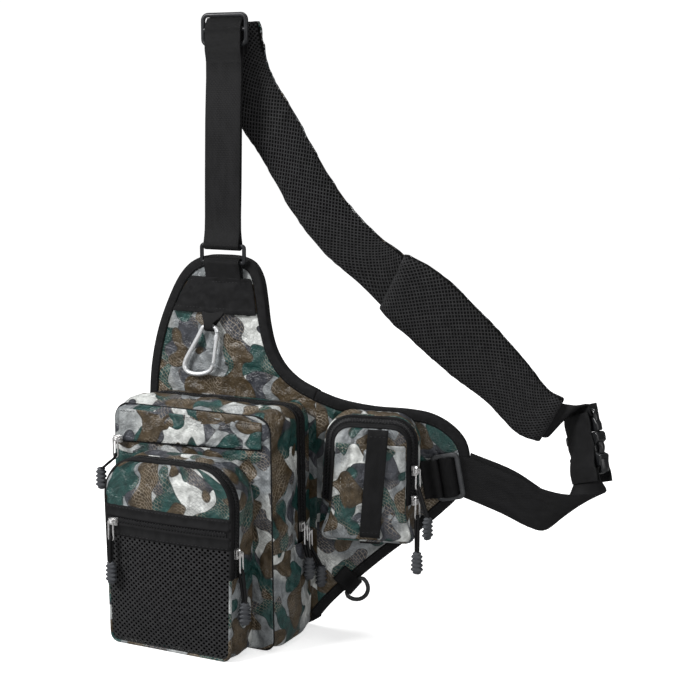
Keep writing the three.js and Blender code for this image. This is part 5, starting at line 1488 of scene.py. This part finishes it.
# Ladder lock
# A moulded frame with a middle bar, held to the wing's tip by a tab of webbing folded round its near bar.
LADDER = {"at": (122, -6, 152), "lean": -10, "width": 27, "height": 45, "bar": 4.8, "corner": 3.5}
AT_LOCK = (Matrix.Translation((WING_SEAM, 0, 0)) @ Matrix.Rotation(WING_TURN, 4, "Z")
           @ Matrix.Translation(LADDER["at"]) @ Matrix.Rotation(math.radians(LADDER["lean"]), 4, "Y"))
LADDER_TAB, LADDER_TAB_HALF = [
    (-24, 2.2), (-18, 1.6), (-13.5, 3.0), (-11, 3.6), (-8.4, 2.6), (-7.6, 0), (-8.4, -2.6), (-11, -3.6),
    (-13.5, -3.0), (-18, -0.4), (-24, 0.4)], 18
grey_plastic = moulded("grey_plastic", "333436", "444547", 0.42)
frame_piece("ladder_lock", LADDER, IN_BAG @ AT_LOCK, grey_plastic, crossed=True, upright=True)
tab_rows = [(x, y, 0, 0, 0, LADDER_TAB_HALF) for x, y in LADDER_TAB]
ribbon("ladder_tab", tab_rows, 3, IN_BAG @ AT_LOCK, ["ladder_tab"])


# Webbing at the buckle and the lower strap
# A stub comes out of the pad and turns round the fork's bar; a guard of the same webbing covers the buckle.
# The lower strap goes from the housing's bar over the lock's middle bar and comes back as a free tail.
LACING, LACING_HALF = [
    (-8.2, 3.2), (-6.4, 1.2), (-5.6, -1.4), (-3.2, -3.3), (0, -3.7), (3.2, -3.3), (5.6, -1.4), (7.0, 1.2),
    (9.5, 2.8)], 18.6
STUB = [(286, 92.6, 203, 9.5, 2.7, 16.2), (293, 95, 201.5, 9.5, 2.7, 16.2), (299, 97.5, 203, 12, 0, 14.5)]
STUB_TURN = [(-4.2, 32.5), (-4.2, 24.3), (-1.8, 21.8), (1.8, 21.8), (4.2, 24.3), (4.2, 33.5)]
GUARD = [
    (-6.6, 26, 17.6), (-6.7, 16, 19.2), (-6.6, 5, 18), (-6.7, -5, 19.4), (-7.0, -13, 17.4),
    (-9.3, -22, 18.2), (-9.4, -30, 19.6), (-9.4, -38, 18.8),
]
LOWER = [
    (224, 44.9, 151, 3, 1.1, 18.6), (260, 57.9, 136, 4.9, 1.8, 18.3), (284, 66.7, 124, 6.5, 2.4, 18),
    (301, 73.5, 120, 11, 3.9, 17.5), (316, 83, 124, 17, 5, 15), (324, 93, 133, 19, 0, 8),
]
LOWER_TURN = [(-6.8, -35), (-6.8, -29.5), (-5, -26), (5, -26), (6.8, -29.5), (6.8, -40)]
TAIL = {"rises": (4.8, 4.2, -1.0), "off": -1.9}


def at_buckle(y, z, half=WEB_HALF):
    centre = AT_BUCKLE @ Vector((0, y, z))
    return (*centre, *(AT_BUCKLE @ Vector((half, y, z)) - centre))


def in_lock(x, y):
    centre = AT_LOCK @ Vector((x, y, 0))
    return (*centre, *(AT_LOCK @ Vector((x, y, LACING_HALF)) - centre))


stub = [*STUB, *(at_buckle(*row) for row in STUB_TURN)]
ribbon("strap_stub", stub, 3, IN_BAG, ["strap_stub", "stub_fold"])
ribbon("buckle_guard", [at_buckle(*row) for row in GUARD], 4, IN_BAG, ["buckle_guard"])
lower = [*(in_lock(*row) for row in LACING), *LOWER, *(at_buckle(*row) for row in LOWER_TURN)]
ribbon("lower_strap", lower, 4, IN_BAG, ["lower_strap"])
tail = [(x, y, z + rise, *half) for rise, (x, y, z, *half) in zip(TAIL["rises"], LOWER)]
ribbon("lower_strap_tail", tail, 6, IN_BAG, ["lower_strap_tail"], shift=TAIL["off"])


# Carabiner and its keeper
# A bent aluminium wire hook with a hinged gate, hung on a folded keeper of webbing under the neck patch.
# The gate turns on a pin at its foot and has a collar near its head.
CARABINER = {"y": -6.5, "wire": 2.2, "flatness": 0.95, "top": 283, "sides": 14}
CARABINER_PATH = [
    (-17, 246), (-20, 241), (-27, 237.5), (-37, 236), (-45, 237.5), (-49, 242), (-48, 248), (-41, 260),
    (-33, 273), (-30, 278.5), (-27.8, 281.8), (-25, 283), (-15.4, 283), (-13.1, 281.6), (-12.2, 278.4),
]
GATE = {
    "foot": (-16.75, 246.9), "head": (-12.3, 277.6), "wire": 1.8, "starts": 0.03,
    "collar": (0.77, 0.78, 0.91, 0.92), "collar_radius": 2.5,
}
GATE_PIN = {"share": 0.07, "radius": 0.8, "length": 4.4}
KEEPER = {"gap": 0.5, "x": -20.2, "half": 4.6}
KEEPER_REAR = [(-18, -2.2, 298, 11.5, 0, 0), (-18.6, -2.4, 293, 9.5, 0, 0)]
KEEPER_FRONT = [
    (-20, -9.0, 287, 5.2, 0, 0), (-18.8, -7.0, 291, 8.8, 0, 0), (-18, -5.2, 294.5, 11.4, 0, 0),
    (-17.6, -4.0, 298, 12.4, 0, 0),
]


def bright(name, colour, rough, metal):
    """Bright metal with faint drawn lines and a few dull spots."""
    finish, tree, shader, drawn = flecked(name, (colour, "f2f3f5"), 500.0, 3.0, {"Metallic": metal})
    tree.links.new(spread(tree, drawn, 0.3, 0.7, rough - 0.07, rough + 0.1), shader.inputs["Roughness"])
    return finish


aluminium = bright("bright_aluminium", "e6e8ea", 0.38, 0.7)
bm = bmesh.new()
line = smooth_line([(x, CARABINER["y"], z) for x, z in CARABINER_PATH], 4)
bar_frame(bm, line, (CARABINER["wire"], CARABINER["wire"] * CARABINER["flatness"]), closed=False,
          sides=CARABINER["sides"])
make_piece("carabiner_body", bm, IN_BAG, aluminium, ["carabiner_body"], body="carabiner")
bm = bmesh.new()
low, high = (Vector((x, CARABINER["y"], z)) for x, z in (GATE["foot"], GATE["head"]))
rod = [low.lerp(high, GATE["starts"] + (1 - GATE["starts"]) * share) for share in shares(6)]
collar = [low.lerp(high, share) for share in GATE["collar"]]
for part, radius in ((rod, GATE["wire"]), (collar, GATE["collar_radius"])):
    bar_frame(bm, part, (radius, radius), closed=False, sides=CARABINER["sides"])
pin_at = Matrix.Translation(low.lerp(high, GATE_PIN["share"])) @ Matrix.Rotation(math.pi / 2, 4, "X")
bmesh.ops.create_cone(bm, cap_ends=True, segments=12, radius1=GATE_PIN["radius"], radius2=GATE_PIN["radius"],
                      depth=GATE_PIN["length"], matrix=pin_at)
make_piece("carabiner_gate", bm, IN_BAG, aluminium, ["carabiner_gate"], body="gate")
keeper_radius = CARABINER["wire"] + KEEPER["gap"] + WEB["thick"] / 2
keeper_turn = across(wrap(CARABINER["y"], CARABINER["top"], keeper_radius, -1), KEEPER["x"], KEEPER["half"])
ribbon("carabiner_keeper", [*KEEPER_REAR, *keeper_turn, *KEEPER_FRONT], 3, IN_BAG, ["carabiner_keeper"])


# D-ring and its tab
# A dark painted wire ring on a folded tab of webbing, sewn to the wing's lower edge.
# The ring swings in the tab's fold.
D_RING = {
    "at": (31, 0, 47), "y": -5.9, "turn": -49.5, "half": 11.5, "drop": 15, "shoulder": 3, "wire": 2.0,
    "bar": -4, "straight": (-0.85, -0.4, 0.4, 0.85),
}
DEE_TAB = {"gap": 0.5, "half": 8.5, "rear": (-2.2, 14), "front": ((-4.6, 6), (-4.1, 14))}
AT_DEE = ON_WING @ Matrix.Translation(D_RING["at"]) @ Matrix.Rotation(math.radians(D_RING["turn"]), 4, "Y")
dark_metal = moulded("dark_painted_metal", "232425", "343536", 0.4, 0.05)
bow = []
for share in shares(16):
    angle = share * math.pi
    fall = D_RING["shoulder"] + (D_RING["drop"] - D_RING["shoulder"]) * math.sin(angle)
    bow.append(Vector((D_RING["half"] * math.cos(angle), D_RING["y"], D_RING["bar"] - fall)))
straight = [Vector((share * D_RING["half"], D_RING["y"], D_RING["bar"])) for share in D_RING["straight"]]
bm = bmesh.new()
bar_frame(bm, [*bow, *straight], (D_RING["wire"], D_RING["wire"]))
make_piece("d_ring", bm, AT_DEE, dark_metal, ["d_ring"], body="dee")
tab_radius = D_RING["wire"] + DEE_TAB["gap"] + WEB["thick"] / 2
tab_path = [DEE_TAB["rear"], *wrap(D_RING["y"], D_RING["bar"], tab_radius, -1), *DEE_TAB["front"]]
ribbon("d_ring_tab", across(tab_path, 0, DEE_TAB["half"]), 3, AT_DEE, ["d_ring_tab"])


# Zip pulls
# Each zip has a bright slider with a wire loop; a doubled black cord through the loop ends in a rubber grip.
# sway moves a grip along the slider's face, out moves it away from the face, twist turns it on its cord.
SLIDER = {
    "width": 7.0, "length": 9.0, "plate": 1.1, "plates": (-0.9, -2.9), "neck": (3.0, 2.2, 3.6),
    "neck_at": (0, -1.9, 2.2), "bevel": 0.45, "taper": 0.16, "sharp": 35,
}
ARCH = {"y": -3.2, "rise": 2.6, "reach": 3.4, "radii": (1.0, 1.2)}
PULL = {"y": -6.0, "half": 2.6, "wire": 0.8, "inside": -16.6}
PULL_SIDE = [(0.6, 2.0), (1, 1.0), (0.96, -6), (1.05, -14.0), (0.9, -15.8), (0.5, -16.7)]
CORD = {"radius": 1.4, "half": 1.0, "gap": 0.3, "bend": 2.5, "into_grip": 3, "sides": 10}
GRIP = {
    "length": 22.0, "half": 6.0, "thick": 3.4, "ribs": 5, "narrow": 0.84, "waist": 0.66, "groove": 0.35,
    "smooth_to": 0.6, "head": 2.5, "end": 3.5,
}
PULLS = {
    "flap": {"at": (-76, -80.3, 184), "roll": 90, "cord": 14, "sway": -17},
    "band": {"at": (-57, -117.8, 116), "roll": 90, "cord": 22, "out": 1},
    "pocket": {"at": (65.1, -108.2, 99), "face": 90, "cord": 30, "sway": 2, "out": 2, "twist": -50},
    "main_front": {"at": (84.3, -21.5, 104), "face": 90, "cord": 14, "sway": -1, "out": 4, "twist": -55},
    "main_rear": {"at": (84.3, -12, 97), "face": 90, "cord": 18, "sway": 4, "out": 9, "twist": -35},
    "pouch_upper": {"at": (91.2, -27.3, 163), "face": 48, "cord": 26, "out": 13},
    "pouch_lower": {"at": (90.9, -27.3, 135), "face": 48, "cord": 33, "sway": -1, "out": 1, "twist": -60},
}
nickel = bright("bright_nickel", "c4c0bc", 0.3, 1.0)
grip_rubber = moulded("grip_rubber", "33353a", "46484b", 0.55, 0.25)


def slider_mesh(roll):
    """A slider's two plates and neck, the arch on its face, and the wire loop that hangs from the arch."""
    bm = bmesh.new()
    plates = bmesh.new()
    turn = Matrix.Rotation(math.radians(roll), 3, "Y")
    plate = (SLIDER["width"], SLIDER["plate"], SLIDER["length"])
    blocks = [*(((0, y, 0), plate) for y in SLIDER["plates"]), (SLIDER["neck_at"], SLIDER["neck"])]
    for at, size in blocks:
        bmesh.ops.create_cube(plates, size=1.0, matrix=Matrix.Translation(at) @ Matrix.Diagonal((*size, 1)))
    bmesh.ops.bevel(plates, geom=plates.edges[:], offset=SLIDER["bevel"], affect="EDGES", segments=2,
                    profile=0.5, material=-1)
    for v in plates.verts:
        v.co.x *= 1.0 - SLIDER["taper"] * max(-v.co.z / (SLIDER["length"] / 2), 0)
    bmesh.ops.rotate(plates, cent=(0, 0, 0), matrix=turn, verts=plates.verts[:])
    join_shape(bm, plates)
    arch = []
    for share in shares(8):
        angle = share * math.pi
        y, z = ARCH["y"] - ARCH["rise"] * math.sin(angle), -ARCH["reach"] * math.cos(angle)
        arch.append(turn @ Vector((0, y, z)))
    bar_frame(bm, arch, ARCH["radii"], closed=False, sides=8, axis=turn @ Vector((1, 0, 0)))
    loop = [*PULL_SIDE, *((-x, z) for x, z in reversed(PULL_SIDE))]
    loop = [Vector((x * PULL["half"], PULL["y"], z)) for x, z in loop]
    bar_frame(bm, loop, (PULL["wire"], PULL["wire"]), sides=8)
    return bm


def grip_mesh(top):
    """Flattened rubber grip: bumps stand out along both edges, the middle is smooth, the end is round."""
    def surface(u, v):
        gone = v * GRIP["length"]
        left = max(GRIP["length"] - gone, 0)
        bump = 0.5 + 0.5 * math.cos(math.tau * (v * (GRIP["ribs"] + 0.5) - 0.25))
        ends = min(1, (gone / GRIP["head"]) ** 0.5, (left / GRIP["end"]) ** 0.5)
        a, n = math.cos(u * math.tau), math.sin(u * math.tau)
        widening = GRIP["narrow"] + (1 - GRIP["narrow"]) * v
        half = GRIP["half"] * widening * ends * (GRIP["waist"] + (1 - GRIP["waist"]) * bump ** 0.6)
        groove = GRIP["groove"] * (1 - bump) * min(abs(a) / GRIP["smooth_to"], 1) ** 2
        thick = GRIP["thick"] * ends * (1 - groove)
        x, y = math.copysign(abs(a) ** 0.7, a) * half, math.copysign(abs(n) ** 0.6, n) * thick
        return Vector((x, y, top - gone))

    return skin(24, GRIP["ribs"] * 8 + 8, surface, weld=True, fill=True)


top = PULL["inside"] + PULL["wire"] + CORD["radius"] + CORD["gap"]
for name, pull in PULLS.items():
    sway, out = pull.get("sway", 0), pull.get("out", 0)
    carrier = ON_WING if name.startswith("pouch") else IN_BAG
    face = Matrix.Rotation(math.radians(pull.get("face", 0)), 4, "Z")
    where = carrier @ Matrix.Translation(pull["at"]) @ face
    make_piece(f"{name}_slider", slider_mesh(pull.get("roll", 0)), where, nickel,
               [f"{name}_slider"], sharp=SLIDER["sharp"])
    bottom, apart = top - pull["cord"], CORD["half"]
    down = [(0, top), (apart * 0.7, top - 0.4), (apart + 0.6, top - CORD["bend"]),
            (apart + 0.6, (bottom + top) / 2), (apart + 0.3, bottom - CORD["into_grip"])]
    route = []
    for y, z in [*reversed(down), *((-y, z) for y, z in down[1:])]:
        share = max(top - z - CORD["bend"], 0) / pull["cord"]
        route.append(Vector((sway * share, PULL["y"] + y - out * share, z)))
    route = smooth_line(route, 5)
    bm = bmesh.new()
    bar_frame(bm, route, (CORD["radius"], CORD["radius"]), closed=False, sides=CORD["sides"],
              axis=Vector((1, 0, 0)))
    cord = make_piece(f"{name}_cord", bm, where, black["webbing"])
    twist = Matrix.Rotation(math.radians(pull.get("twist", 0)), 4, "Z")
    held = where @ Matrix.Translation((sway, PULL["y"] - out, 0)) @ twist
    grip = make_piece(f"{name}_grip", grip_mesh(bottom), held, grip_rubber, [f"{name}_pull"])
    path = [where @ p for p in route]
    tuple(path[0])
    lengths_along(path)[-1]
